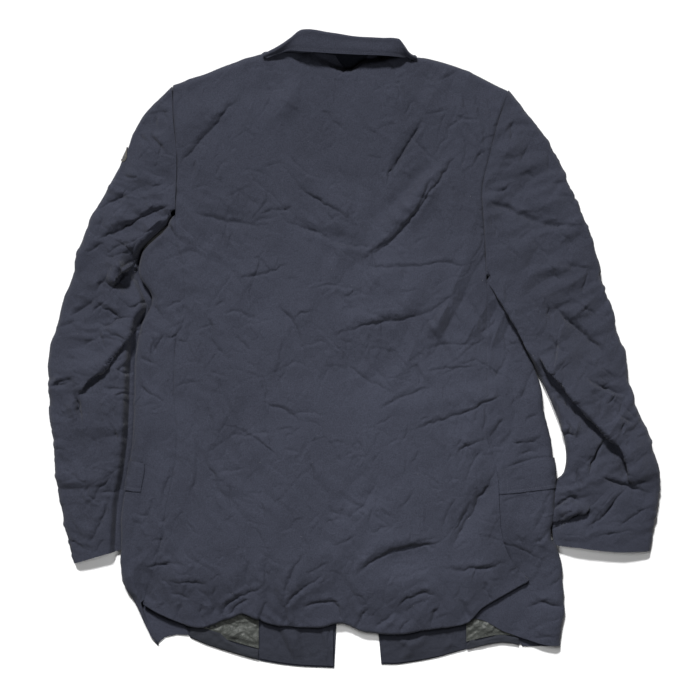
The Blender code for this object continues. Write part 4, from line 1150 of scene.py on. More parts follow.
@dataclass
class Cloth:
    """One cut piece of cloth: a grid for its outer face, and a plainer grid for its inner one.

    Base is the middle of the wall, and relief the height of the creases along the normal. Up
    says which way the outer face looks at the place given by facing.
    """

    name: str
    base: Array
    relief: Array
    wall: float
    up: tuple[float, float, float] = (0.0, 0.0, 1.0)
    facing: tuple[float, float] = (0.0, 0.5)
    inner_step: int = 4

    def outward(self) -> Array:
        """Normals of the base, turned to the outer face."""
        normal = normals_from(np.gradient(self.base, axis=0), np.gradient(self.base, axis=1))
        i = int(self.facing[0] * (normal.shape[0] - 1))
        j = int(self.facing[1] * (normal.shape[1] - 1))
        if float(normal[i, j] @ np.array(self.up)) < 0:
            self.base = self.base[::-1].copy()
            self.relief = self.relief[::-1].copy()
            self.facing = (1 - self.facing[0], self.facing[1])
            normal = -normal[::-1]
        return normal

    def cut(self) -> tuple[float, float, float]:
        """Flat width, length and area of the piece in metres, before it was creased."""
        width = float(travelled(self.base, 0).sum(axis=0).max())
        length = float(travelled(self.base, 1).sum(axis=1).max())
        a, b = self.base[:-1, :-1], self.base[1:, 1:]
        c, d = self.base[1:, :-1], self.base[:-1, 1:]
        area = np.linalg.norm(np.cross(b - a, d - c), axis=2).sum() / 2
        share = min(max(float(area) / (width * length), LEAST_FILL), 1.0)
        width, length = math.ceil(width) * MM, math.ceil(length) * MM
        return width, length, round(width * length * share, 5)

    def build(self, material: bpy.types.Material) -> bpy.types.Object:
        """Make the shell.

        Args:
            material: finish of the cloth.
        Returns:
            The piece, with its place in its mesh.
        """
        normal = self.outward()
        n, m = self.relief.shape
        outer = self.base + normal * (self.wall / 2 + self.relief)[..., None]
        rows, lines = stations(n, self.inner_step), stations(m, self.inner_step)
        dip = np.minimum(self.relief, 0.0)
        low = dip.copy()
        for shift in range(1, self.inner_step + 1):
            for axis in (0, 1):
                low = np.minimum(low, np.roll(dip, shift, axis))
                low = np.minimum(low, np.roll(dip, -shift, axis))
        inner = self.base + normal * (low - self.wall / 2)[..., None]
        inner = inner[np.ix_(rows, lines)]
        a, b = len(rows), len(lines)
        fine = np.arange(n * m).reshape(n, m)
        coarse = n * m + np.arange(a * b).reshape(a, b)
        faces = self.quads(fine, False) + self.quads(coarse, True)
        for edge, spots, kept in (
            (fine[:, 0], rows, coarse[:, 0]),
            (fine[-1, :], lines, coarse[-1, :]),
            (fine[::-1, -1], (n - 1 - rows)[::-1], coarse[::-1, -1]),
            (fine[0, ::-1], (m - 1 - lines)[::-1], coarse[0, ::-1]),
        ):
            faces += self.rim(edge, spots, kept)
        mesh = bpy.data.meshes.new(self.name)
        mesh.from_pydata(metres(np.vstack([outer.reshape(-1, 3), inner.reshape(-1, 3)])), [], faces)
        mesh.validate()
        mesh.shade_smooth()
        self.mark(mesh, n * m)
        self.lay_grid(mesh, rows, lines)
        mesh.materials.append(material)
        return add_object(self.name, mesh)

    @staticmethod
    def quads(grid: Array, back: bool) -> list[list[int]]:
        """Faces of a grid of vertices, turned round where back is true."""
        a, b, c, d = grid[:-1, :-1], grid[1:, :-1], grid[1:, 1:], grid[:-1, 1:]
        order = (a, d, c, b) if back else (a, b, c, d)
        return np.stack([part.ravel() for part in order], axis=1).tolist()

    @staticmethod
    def rim(edge: Array, spots: Array, kept: Array) -> list[list[int]]:
        """Join the outer and inner edges.

        Args:
            edge: outer vertices along one edge.
            spots: places on that edge that have an inner vertex.
            kept: those inner vertices.
        Returns:
            The faces of the edge.
        """
        faces = []
        for k in range(len(spots) - 1):
            p, q = int(spots[k]), int(spots[k + 1])
            middle = (p + q + 1) // 2
            for s in range(p, q):
                near = kept[k] if s < middle else kept[k + 1]
                faces.append([int(near), int(edge[s + 1]), int(edge[s])])
            faces.append([int(kept[k]), int(kept[k + 1]), int(edge[middle])])
        return faces

    @staticmethod
    def mark(mesh: bpy.types.Mesh, outer_count: int) -> None:
        """Keep the cut edges crisp, where a face of the rim meets a face of a grid.

        Args:
            mesh: the shell.
            outer_count: how many of its vertices are the outer grid's.
        """
        sizes = reads(mesh.polygons, "loop_total")
        edges = reads(mesh.loops, "edge_index")
        outer = (reads(mesh.loops, "vertex_index") < outer_count).astype(int)
        total = np.add.reduceat(outer, np.concatenate([[0], np.cumsum(sizes)[:-1]]))
        on_rim = np.repeat((total > 0) & (total < sizes), sizes)
        rim, plain = np.zeros(len(mesh.edges), bool), np.zeros(len(mesh.edges), bool)
        rim[edges[on_rim]] = True
        plain[edges[~on_rim]] = True
        layer = mesh.attributes.get("sharp_edge") or mesh.attributes.new("sharp_edge", "BOOLEAN", "EDGE")
        layer.data.foreach_set("value", (rim & plain).tolist())

    def lay_grid(self, mesh: bpy.types.Mesh, rows: Array, lines: Array) -> None:
        """Give the piece a map in metres that follows its warp and weft.

        Args:
            mesh: the shell.
            rows: places across of the inner grid.
            lines: places along of the inner grid.
        """
        n, m = self.relief.shape
        u, v = np.zeros((n, m)), np.zeros((n, m))
        u[1:] = np.cumsum(travelled(self.base, 0), axis=0)
        v[:, 1:] = np.cumsum(travelled(self.base, 1), axis=1)
        u -= u[n // 2 : n // 2 + 1] - u[n // 2, m // 2]
        flat = np.stack([u, v], axis=2) * MM
        both = np.vstack([flat.reshape(-1, 2), flat[np.ix_(rows, lines)].reshape(-1, 2)])
        layer = mesh.uv_layers.new(name="warp_and_weft")
        layer.data.foreach_set("uv", both[reads(mesh.loops, "vertex_index")].ravel())


# ---------------------------------------------------------------- pieces of the body
def stack(x: Array, y: Array, z: Array) -> Array:
    """Points from three fields of the same shape, or shapes that fit each other."""
    return np.stack(np.broadcast_arrays(x, y, z), axis=-1).astype(float)


def ragged(place: Array, size: float) -> Array:
    """Small unevenness of a folded edge by the place along it."""
    return size * (noise(place / 22, 0.0 * place, 91) + 0.4 * noise(place / 6, 0.0 * place, 92))


@dataclass
class BackPanel:
    """Back of the tunic, with its hem rolled under and its top rolled over the shoulders."""

    form: BodyForm
    side: Side
    columns: int = 176
    rows: int = 508
    roll_rows: int = 12
    turn_rows: int = 4
    shoulder_rows: int = 8
    hem_radius: float = 3.3
    hem_turn: float = 24.0
    thin_radius: float = 1.7
    hem_tuck: float = 2.0
    length: float = 690.0
    left_ends: tuple[float, float] = (-351.0, 361.0)
    right_ends: tuple[float, float] = (-318.0, 353.0)
    hem_ends: tuple[float, float] = (-290.0, 239.0)
    shoulder_ends: tuple[float, float] = (-250.0, 217.0)
    shoulder_turn: float = 0.47
    tip_rise: float = 28.0
    seam_reach: float = 1.5 / 500

    def plan(self) -> Callable:
        """Plan of the back between its sides, hem and shoulders."""
        form = self.form
        drop = form.roll_width + 2 * form.seam_gap

        def left(t: Array) -> Plan:
            """Left side by its share from the hem."""
            y = lerp(self.left_ends[0], self.left_ends[1] - form.roll_width - form.seam_gap, t)
            return form.sides.read("left", y) + form.sewn_gap, y

        def right(t: Array) -> Plan:
            """Right side by its share from the hem."""
            y = lerp(self.right_ends[0], self.right_ends[1] - form.roll_width - form.seam_gap, t)
            return form.sides.read("right", y) - form.sewn_gap, y

        def bottom(t: Array) -> Plan:
            """Hem by its share from the left."""
            x = lerp(*self.hem_ends, t)
            return x, form.hem.read("y", x)

        def top(t: Array) -> Plan:
            """Shoulders and neck by their share from the left."""
            x = lerp(*self.shoulder_ends, t)
            neck = self.neck(x)
            rise = self.tip_rise * neck * (1 - neck) * ease(0, 60, x)
            return x, form.top.read("y", x) - lerp(drop, 1.0, neck) + rise

        return coons(bottom, top, left, right)

    @staticmethod
    def neck(x: Array) -> Array:
        """1 where the collar is sewn to the back, and 0 at the shoulders."""
        return ease(-126, -116, x) * ease(84, 74, x)

    def piece(self) -> Cloth:
        """Shape the back."""
        form = self.form
        place = self.plan()
        ends = (0.0, 0.5) if self.side is Side.LEFT else (0.5, 1.0)
        u = np.linspace(*ends, self.columns + 1)[:, None]
        foot_x, foot_y = place(u, np.zeros((1, 1)))
        radius = lerp(self.thin_radius, self.hem_radius, ease(-262, -214, foot_x) * ease(156, 104, foot_x))
        top_z = form.upper(foot_x, foot_y + radius)
        turn = np.minimum(self.hem_turn, 10 + radius * 3)
        first, last = self.hem_ends
        turn = lerp(self.hem_tuck, turn, ease(first, first + 30, foot_x) * ease(last, last - 31, foot_x))
        back = np.linspace(1.0, 0.0, self.turn_rows, endpoint=False)[None, :]
        under = stack(foot_x, foot_y + radius + turn * back, top_z - 2 * radius)
        angle = np.linspace(0.0, math.pi, self.roll_rows)[None, :]
        roll_y = foot_y + radius * (1 - np.sin(angle))
        roll = stack(foot_x, roll_y, top_z - radius - radius * np.cos(angle))
        x, y = place(u, lerp(radius / self.length, 1.0, shares_along(self.rows)[:, 1:]))
        top = stack(x, y, form.upper(x, y))
        end_x, end_y, end_z = (top[:, -1:, k] for k in range(3))
        neck = self.neck(end_x)
        few = shares_along(self.shoulder_rows)[:, 1:]
        turned = math.pi * (1 - self.shoulder_turn * few)
        low = form.floor(end_x, end_y)
        half = (end_z - low) / 2
        over = form.roll_width * np.sin(turned) + 0.5
        drop = half * (1 + np.cos(turned))
        shoulder_y = end_y + lerp(over, 0.6 * few, neck)
        shoulder = stack(end_x, shoulder_y, end_z - lerp(drop, 1.2 * few, neck))
        base = np.concatenate([under, roll, top, shoulder], axis=1)
        relief = form.creases(base[..., 0], base[..., 1])
        at_edge = ease(12, 0, base[..., 1] - foot_y) + ease(10, 0, end_y - base[..., 1])
        relief += ragged(base[..., 0], 1.1) * at_edge
        relief = np.maximum(relief, lerp(-0.8 * radius, -9.0, ease(5, 26, base[..., 1] - foot_y)))
        seam = lerp(0.14, 0.5, ease(280, 380, base[..., 1]))
        relief -= seam * bell((u - 0.5) / self.seam_reach)
        mask = np.ones_like(relief)
        first = self.turn_rows + self.roll_rows
        mask[:, : self.turn_rows] = 0.0
        mask[:, self.turn_rows : first] = ease(0.1, 1.0, angle / math.pi)
        mask[:, -self.shoulder_rows :] = 1 - 0.7 * few
        name = f"back_{self.side.label}_cloth"
        return Cloth(name, base, relief * mask, form.wall, facing=(0.5, 0.5), inner_step=5)


@dataclass
class SidePanel:
    """Side of the body: over the top, round the folded side and back beneath."""

    form: BodyForm
    side: Side
    columns: tuple[int, int, int] = (48, 18, 8)
    rows: int = 350
    top_end: float = 4.0
    roll_end: float = 9.0
    end: float = 11.0
    underlap: float = 20.0
    underlap_height: float = 7.0
    underlap_drop: float = 3.0
    hem_drop: float = 4.8
    pit_rise: float = 5.0
    underlap_foot: float = 161.0
    hem: Table = SIDE_HEM_RIGHT
    left_hem: Table = SIDE_HEM_LEFT

    def seam(self, y: Array) -> Array:
        """Cut edge on top: at the side seam, or under the back beside the vent.

        Args:
            y: places along.
        Returns:
            Its places across.
        """
        form = self.form
        lapped = ease(form.vent_top - 10, form.vent_top - 42, y)
        if self.side is Side.LEFT:
            return form.back_edge(self.side, y) - form.sewn_gap + lapped * self.underlap
        inner = lerp(form.back_edge(self.side, y), self.underlap_foot, ease(-150, -372, y))
        return inner + form.sewn_gap - lapped * self.underlap * ease(-372, -150, y)

    def section(self, f: Array, y: Array) -> Array:
        """Middle of the wall round the side.

        Args:
            f: steps from the cut edge on top, round the fold and beneath.
            y: places along the garment.
        Returns:
            The points.
        """
        form = self.form
        f, y = matched(f, y)
        sign = self.side.value
        edge, seam = form.edge(self.side, y), self.seam(y)
        roll = np.minimum(form.roll_width, np.abs(seam - edge) * 0.7)
        centre = edge - sign * roll
        high, low = form.upper(centre, y), form.floor(centre, y)
        share = np.clip(f / self.top_end, 0.0, 1.0)
        top_x = lerp(seam, centre, share)
        top_z = form.upper(top_x, y)
        beside = ease(form.vent_top + 24, form.vent_top - 12, y)
        drop = lerp(self.underlap_drop, self.hem_drop, ease(-262, -308, y))
        if self.side is Side.RIGHT:
            drop = lerp(drop, 2.6, ease(0.3, 0.6, share) * ease(-290, -310, y))
        top_z = top_z - drop * beside * ease(1.0, 0.66, share)
        if self.side is Side.RIGHT:
            flat = ease(-236, -330, y) * ease(1.0, 0.5, share)
            top_z = lerp(top_z, self.underlap_height, flat)
        turned = self.turn(f)
        half = (high - low) / 2
        roll_x = centre + sign * roll * np.sin(turned)
        roll_z = low + half + half * np.cos(turned)
        under_share = np.clip((f - self.roll_end) / (self.end - self.roll_end), 0.0, 1.0)
        under_x = lerp(centre, form.under.read(self.side.label, y), under_share)
        x = np.where(f <= self.top_end, top_x, np.where(f <= self.roll_end, roll_x, under_x))
        z = np.where(f <= self.top_end, top_z, roll_z)
        z = np.where(f > self.roll_end, form.floor(under_x, y), z)
        return stack(x, y, z)

    def turn(self, f: Array) -> Array:
        """Angle turned round the fold at the steps f."""
        return math.pi * np.clip((f - self.top_end) / (self.roll_end - self.top_end), 0.0, 1.0)

    def steps(self) -> Array:
        """Places of the grid's columns round the side."""
        first = np.linspace(0.0, self.top_end, self.columns[0], endpoint=False)
        second = np.linspace(self.top_end, self.roll_end, self.columns[1], endpoint=False)
        third = np.linspace(self.roll_end, self.end, self.columns[2] + 1)
        return np.concatenate([first, second, third])

    def foot(self, f: Array) -> Array:
        """Hem of the side.

        Args:
            f: steps round the side.
        Returns:
            Where the hem lies along the garment.
        """
        share = f / self.end
        if self.side is Side.LEFT:
            return self.left_hem.read("y", f)
        hem = self.hem.read("y", lerp(161.0, 284.0, ease(0.0, self.top_end / self.end, share)))
        return lerp(hem, -410.0, ease(0.4, 0.9, share))

    def relief(self, f: Array, base: Array) -> Array:
        """Creases of the side, which die away beneath it.

        Args:
            f: steps round the side.
            base: points of the middle of its wall.
        Returns:
            Height along the normal.
        """
        x, y = base[..., 0], base[..., 1]
        height = self.form.creases(x, y) + total_height(SIDE_CREASES, x, y)
        fade = ease(self.roll_end, self.top_end + 0.6, f)
        uneven = ragged(y + 77 * self.side.value, 1.3) * ease(self.top_end, self.top_end + 2, f)
        return height * fade + uneven * fade

    def piece(self) -> Cloth:
        """Shape the side."""
        f = self.steps()[:, None]
        y = lerp(self.foot(f), self.form.pit(self.side) + self.pit_rise, shares_along(self.rows))
        base = self.section(f, y)
        name = f"side_{self.side.label}_cloth"
        return Cloth(name, base, self.relief(f, base), self.form.wall, inner_step=3)


@dataclass
class FrontPanel:
    """Front of the tunic, outer face down, with its shoulder end rolled up to the back."""

    form: BodyForm
    side: Side
    columns: int = 44
    rows: int = 150
    shoulder_rows: int = 12
    shoulder_turn: float = 0.46

    @property
    def hem(self) -> Table:
        """Hem of this front."""
        return FRONT_HEMS[self.side]

    def piece(self) -> Cloth:
        """Shape the front."""
        form, side, sign = self.form, self.side, self.side.value
        corner, neck, foot_y = (-250.0, -118.0, -398.0) if sign < 0 else (217.0, 92.0, -408.0)
        end = self.hem.values[-1] if sign < 0 else self.hem.values[0]
        shoulder_y = float(form.top.read("y", corner)) - form.roll_width
        neck_y = float(form.top.read("y", neck)) - form.roll_width

        def outside(t: Array) -> Plan:
            """Seam with the side panel by its share from the hem."""
            y = lerp(foot_y, shoulder_y, t)
            beside = form.under.read(side.label, y) - sign * form.sewn_gap
            armhole = form.back_edge(side, y) - sign * form.seam_gap
            return np.where(y > form.pit(side), armhole, beside), y

        def inside(t: Array) -> Plan:
            """Front edge by its share from the hem."""
            y = lerp(end[1], neck_y, t)
            return FRONT_EDGES[side].read("x", y), y

        def foot(t: Array) -> Plan:
            """Hem by its share from the side."""
            x = lerp(outside(0.0)[0], inside(0.0)[0], t)
            return x, self.hem.read("y", x)

        def head(t: Array) -> Plan:
            """Shoulder by its share from the armhole."""
            x = lerp(outside(1.0)[0], inside(1.0)[0], t)
            return x, form.top.read("y", x) - form.roll_width

        x, y = coons(foot, head, outside, inside)(shares_across(self.columns), shares_along(self.rows))
        flat = stack(x, y, form.floor(x, y))
        x, y = x[:, -1:], y[:, -1:]
        low = form.floor(x, y)
        half = (form.upper(x, y) - low) / 2
        turned = shares_along(self.shoulder_rows)[:, 1:] * math.pi * self.shoulder_turn
        rolled = stack(x, y + form.roll_width * np.sin(turned), low + half - half * np.cos(turned))
        base = np.concatenate([flat, rolled], axis=1)
        relief = 0.25 * noise(base[..., 0] / 40, base[..., 1] / 40, 53) * ease(380, 300, base[..., 1])
        relief = relief * ease(-300, -330, base[..., 1])
        return Cloth(f"front_{side.label}_cloth", base, relief, form.wall, facing=(0.5, 0.3), inner_step=2)


@dataclass
class InnerBand:
    """Band of facing, lining or turned hem that lies on the inner face of a front."""

    form: BodyForm
    name: str
    side: Side
    x0: float
    x1: float
    margin: float
    height: float
    crush: float
    columns: int
    rows: int
    lie: float = 0.0
    rise: float = 0.0

    def piece(self) -> Cloth:
        """Shape the band, whose lower edge follows the front's hem."""
        form = self.form
        x = np.linspace(self.x0, self.x1, self.columns + 1)[:, None]
        v = shares_along(self.rows)
        hem = FRONT_HEMS[self.side].read("y", x) + self.margin
        share = (x - self.x0) / (self.x1 - self.x0)
        high = self.height * (1 + self.rise * ease(0.62, 0.2, share))
        top = hem + high + 2.5 * noise(x / 9, 0.0 * x, 63) if self.height > 0 else -318.0 + 0.0 * x
        y = lerp(hem, top, v)
        thin = form.thin_wall
        z = form.floor(x, y) + form.wall / 2 + form.layer_gap + thin / 2 + self.lie
        base = stack(x, y, z)
        x, y = base[..., 0], base[..., 1]
        rest = ease(0.0, 0.12, v) * ease(1.0, 0.75, v)
        creases = total_height(LINING_CREASES, x, y)
        facets = self.crush * (1.1 + crumple(x, y, 11.0, 61) + 0.6 * crumple(x, y, 5.5, 67))
        relief = (np.maximum(creases, -0.3) * min(1.0, 2.2 * self.crush) + facets) * rest
        return Cloth(self.name, base, relief, thin, facing=(0.5, 0.5), inner_step=3)


@dataclass
class Lapel:
    """Plain lapel folded back beneath a front along its neck edge."""

    form: BodyForm
    side: Side
    columns: int = 8
    rows: int = 40
    foot: float = 136.0
    widest: float = 330.0
    head: float = 378.0
    gap: float = 2.0

    def piece(self) -> Cloth:
        """Shape the lapel."""
        y = np.linspace(self.foot, self.head, self.rows + 1)[None, :]
        fold = FRONT_EDGES[self.side].read("x", y) + self.side.value * self.gap
        width = 12 + 56 * ease(self.foot, self.widest, y) - 14 * ease(self.widest, self.head, y)
        u = shares_across(self.columns)
        base = stack(fold + self.side.value * width * u, y, self.form.thin_wall / 2)
        name = f"lapel_{self.side.label}_cloth"
        return Cloth(name, base, np.zeros(base.shape[:2]), self.form.thin_wall, inner_step=2)


# ---------------------------------------------------------------- sleeves
@dataclass
class Sleeve:
    """One sleeve laid flat, of two halves sewn at the inner edge and beside the outer one."""

    form: BodyForm
    side: Side
    crown: float = 24.0
    edge_fall: float = 4.0
    cuff_height: float = 16.0
    tuck_height: float = 7.0
    pit_space: float = 3.4
    outer_length: float = 28.0
    roll_seam_gap: float = 0.3
    cuff_bow: float = 5.0
    tuck_reach: float = 9.0
    cover_reach: float = 10.0
    left_shoulder: float = 359.0
    right_shoulder: float = 354.0
    seam_depth: float = 1.3
    rows: int = 424
    columns: int = 112

    @property
    def stations(self) -> Table:
        """Sections of this sleeve from armhole to cuff."""
        return SLEEVE_STATIONS[self.side]

    @property
    def seam(self) -> float:
        """Distance of the upper seam from the start of the flat top, under 0 on the outer roll."""
        return -9.0 if self.side is Side.LEFT else -14.0

    def armhole(self, t: Array) -> Plan:
        """Armhole edge.

        Args:
            t: share from the shoulder to the underarm.
        Returns:
            The places across and along.
        """
        form = self.form
        if self.side is Side.LEFT:
            y = lerp(self.left_shoulder, form.left_pit + 5, t)
            return form.back_edge(self.side, y) - form.sewn_gap, y
        y = lerp(self.right_shoulder, form.right_pit + 9, t)
        return form.back_edge(self.side, y) + form.sewn_gap - 3.0 * ease(0.1, 0.0, t), y

    def plan(self, u: Array, v: Array) -> Plan:
        """Place in plan.

        Args:
            u: share from the outer to the inner edge.
            v: share from the armhole to the cuff.
        Returns:
            The places across and along.
        """
        read, form = self.stations.read, self.form
        outer_x, outer_y = read("outer_x", v), read("outer_y", v)
        inner_x, inner_y = read("inner_x", v), read("inner_y", v)
        start = self.stations.values[0]
        fade = ease(0.3, 0.0, v)
        hole_x, hole_y = self.armhole(u)
        x = lerp(outer_x, inner_x, u) + fade * (hole_x - lerp(start[1], start[3], u))
        y = lerp(outer_y, inner_y, u) + fade * (hole_y - lerp(start[2], start[4], u))
        uneven = ragged(outer_y - outer_x, 2.2) * ease(0.3, 0.0, u) * ease(0.0, 0.08, v)
        x = x + self.side.value * uneven
        edge = form.edge(self.side, y)
        if self.side is Side.RIGHT:
            beside = np.maximum(x, edge + self.pit_space * ease(-60, -40, y))
            x = np.where((y > -60) & (y < form.right_pit + 12), beside, x)
            return x, y - self.cuff_bow * ease(0.85, 1.0, v) * np.sin(math.pi * u)
        space = self.pit_space * (1 + 1.6 * ease(122, 106, y) * ease(50, 64, y))
        beside = np.minimum(x, edge - space)
        held = np.where(y > 100, beside, lerp(x, beside, ease(84, 100, y)))
        return np.where(y < form.left_pit + 12, held, x), y

    def inner_mask(self, u: Array, v: Array) -> Array:
        """0 at the sleeve's edges and seams, 1 inside them."""
        return ease(0.0, 0.12, u) * ease(1.0, 0.88, u) * ease(0.0, 0.06, v)

    def upper(self, u: Array, v: Array) -> Array:
        """Height of the middle of the upward wall, without its small creases.

        Args:
            u: share from the outer to the inner edge.
            v: share from the armhole to the cuff.
        Returns:
            Height at each place.
        """
        form = self.form
        u, v = matched(u, v)
        x, y = self.plan(u, v)
        hole_x, hole_y = self.armhole(u)
        at_hole = form.upper(hole_x - self.side.value, hole_y)
        level = lerp(self.crown, self.cuff_height, ease(0.62, 1.0, v))
        z = lerp(level - self.edge_fall, level, 1 - np.abs(2 * u - 1) ** 3)
        z = lerp(at_hole, z, ease(0.0, 0.3, v))
        inner = self.inner_mask(u, v)
        z = z + total_height(SLEEVE_SOFT_FOLDS, x, y) * inner
        z = z + self.overlap(u, v)[0]
        if self.side is Side.LEFT:
            near = lerp(-34.0, -17.0, ease(122, 100, y))
            tuck = ease(near, -9, x - form.edge(self.side, y)) * ease(152, 122, y)
            deep = lerp(self.tuck_height - form.wall / 2, 4.6, ease(132, 112, y) * ease(44, 60, y))
            return lerp(z, deep, tuck)
        z = z + 4.0 * ease(0.35, 1.0, u) * ease(-118, -60, y) * ease(0.0, 0.1, v)
        return lerp(z, self.tuck_height + 1.0, ease(0.78, 1.0, u) * self.beneath(y))

    @staticmethod
    def beneath(y: Array) -> Array:
        """1 where the right sleeve lies against the body above its cuff."""
        return ease(-164, -190, y) * ease(-310, -296, y)

    def overlap(self, u: Array, v: Array) -> tuple[Array, Array, Array]:
        """Height and plan shifts of the folds that lie over one another.

        Args:
            u: share from the outer to the inner edge.
            v: share from the armhole to the cuff.
        Returns:
            Height, shift across and shift along.
        """
        u, v = matched(u, v)
        x, y = self.plan(u, v)
        inner = ease(0.0, 0.07, u) * ease(1.0, 0.93, u) * ease(0.0, 0.06, v)
        height, across, down = sum(np.array(fold.place(x, y)) for fold in SLEEVE_OVERLAPS[self.side])
        return height * inner, across * inner, down * inner

    def creases(self, x: Array, y: Array) -> Array:
        """Creases of the upward wall.

        Args:
            x: places across.
            y: places along.
        Returns:
            Height along the normal.
        """
        moved = wander(x, y)
        sharp = total_height(SLEEVE_CREASES[self.side], *moved)
        sharp = sharp + total_height(SLEEVE_SMALL_CREASES[self.side], *moved)
        sharp = sharp * (1 + 0.35 * noise(x / 8, y / 8, 305))
        seed = 71 if self.side is Side.LEFT else 79
        busy = 0.7 + 0.5 * noise(x / 70, y / 70, seed + 3)
        facets = 4.0 * crumple(x, y, 34.0, seed) + 1.7 * crumple(x, y, 16.0, seed + 5)
        facets = facets + 0.34 * crumple(x, y, 7.0, seed + 6)
        waves = 1.8 * noise(x / 52, y / 44, seed + 7) + 1.2 * noise(x / 24, y / 28, seed + 9)
        return self.form.crease_gain * sharp + facets * busy + waves

    def widths(self, v: Array) -> tuple[Array, Array]:
        """Widths of the rolls at the sleeve's edges.

        Args:
            v: share from the armhole to the cuff.
        Returns:
            Shares of the sleeve's width that the outer and inner rolls take.
        """
        outer_x, outer_y = self.plan(0.0, v)
        inner_x, inner_y = self.plan(1.0, v)
        width = np.hypot(outer_x - inner_x, outer_y - inner_y)
        inner = np.minimum(self.form.roll_width, 2.4 + 140 * v)
        if self.side is Side.LEFT:
            inner = lerp(inner, 2.4, ease(125, 96, inner_y))
        return self.form.roll_width / width, inner / width

    def section(self, part: str, share: Array, v: Array) -> Array:
        """Middle of the wall round the sleeve.

        Args:
            part: top, outer, floor or inner.
            share: share within that part.
            v: share from the armhole to the cuff.
        Returns:
            The points.
        """
        share, v = matched(share, v)
        roll, inner_roll = self.widths(v)
        flat = self.form.wall / 2
        if part in ("top", "floor"):
            u = lerp(roll, 1.0 - inner_roll, share)
            x, y = self.plan(u, v)
            if part == "floor":
                return stack(x - self.side.value * self.tucked(y) * ease(0.6, 1.0, share), y, flat)
            _, dx, dy = self.overlap(u, v)
            dx = dx - self.side.value * self.covers(y) * ease(0.8, 1.0, share)
            return stack(x + dx, y + dy, self.upper(u, v))
        u0 = roll if part == "outer" else 1.0 - inner_roll
        size = -roll if part == "outer" else inner_roll
        half = (self.upper(u0, v) - flat) / 2
        x, y = self.plan(u0 + size * np.sin(math.pi * share), v)
        if part == "inner":
            reach = self.covers(y) * ease(0.6, 0.0, share) + self.tucked(y) * ease(0.5, 1.0, share)
            x = x - self.side.value * reach
        return stack(x, y, flat + half + half * np.cos(math.pi * share))

    def tucked(self, y: Array) -> Array:
        """How far the lower wall reaches beneath the body's rolled edge."""
        if self.side is Side.LEFT:
            further = 0.9 * ease(130, 100, y) * ease(40, 64, y)
            return self.tuck_reach * ease(190, 176, y) * (1 + further)
        return self.tuck_reach * ease(-70, -30, y) * ease(110, 96, y) + 18.0 * self.beneath(y)

    def covers(self, y: Array) -> Array:
        """How far the upper wall lies over the body's rolled edge."""
        if self.side is Side.LEFT:
            return np.zeros_like(y)
        return self.cover_reach * ease(-44, 10, y) * ease(110, 88, y) + 17.0 * self.beneath(y)

    def inner_gap(self, v: Array) -> Array:
        """Share of the inner roll left open at the seam between the halves."""
        high = self.upper(0.97, v)
        return self.roll_seam_gap / (math.pi * 0.25 * (high - self.form.wall / 2) + 2)

    def seam_share(self, half: int, v: Array) -> Array:
        """Where a half ends at the upper seam: 1 is the lower half, -1 the upper."""
        opening = half * self.roll_seam_gap * lerp(1.0, 1.7, ease(0.6, 1.0, v))
        return (self.seam - opening) / self.outer_length

    def relief(self, base: Array, v: Array, turned: Array) -> Array:
        """Creases of a half.

        Args:
            base: points of the half.
            v: share from the armhole to the cuff.
            turned: 0 on the flat top, 1 where the cloth stands upright at an edge.
        Returns:
            Height along the normal.
        """
        height = self.creases(base[..., 0], base[..., 1])
        keep = ease(1.3, 0.0, turned) * ease(-0.008, 0.018, v)
        stitched = ease(0.985, 0.965, v) * 0.5 + 0.5
        armhole = -self.seam_depth * bell(v / 0.005)
        if self.side is Side.LEFT:
            beside = base[..., 0] - self.form.edge(self.side, base[..., 1])
            height = height * (1 - 0.75 * ease(-24, -10, beside) * ease(30, -6, base[..., 1]))
        return height * keep * stitched + armhole * keep

    def half(
        self, name: str, v: Array, parts: Sequence[tuple], facing: tuple[float, float], inner_step: int
    ) -> Cloth:
        """Join the parts of one half and crease them.

        Args:
            name: start of the piece's name.
            v: shares from the armhole to the cuff.
            parts: name of each part, the shares within it and how far its cloth is turned.
            facing: place that looks up.
            inner_step: how much coarser the inner face is.
        Returns:
            The half.
        """
        shapes = [self.section(part, share, v) for part, share, _ in parts]
        turned = [np.broadcast_to(part[2], shape.shape[:2]) for part, shape in zip(parts, shapes)]
        base = np.concatenate(shapes)
        relief = self.relief(base, v, np.concatenate(turned))
        name = f"{name}_{self.side.label}_cloth"
        return Cloth(name, base, relief, self.form.wall, facing=facing, inner_step=inner_step)

    def under_half(self) -> Cloth:
        """Shape the half that lies upward."""
        v = shares_along(self.rows)
        seam = self.seam_share(-1, v)
        outer = lerp(-seam, 0.0, shares_across(8)[:-1])
        top = lerp(np.maximum(seam, 0.0), 1.0, shares_across(self.columns))
        inner = (0.5 - self.inner_gap(v)) * shares_across(8)[1:]
        parts = (("outer", outer, outer * 2), ("top", top, 0.0), ("inner", inner, inner * 2))
        return self.half("undersleeve", v, parts, (0.5, 0.5), 4)

    def top_half(self) -> Cloth:
        """Shape the half that lies on the floor and wraps the outer edge."""
        v = shares_along(self.rows)
        outer = lerp(np.maximum(-self.seam_share(1, v), 0.0), 1.0, shares_across(14))
        inner = 1.0 - (0.5 - self.inner_gap(v)) * shares_across(7)[1:]
        floor = shares_across(12)[1:]
        parts = (("outer", outer, outer * 2), ("floor", floor, 2.0), ("inner", inner, 2.0))
        return self.half("topsleeve", v, parts, (0.06, 0.5), 3)


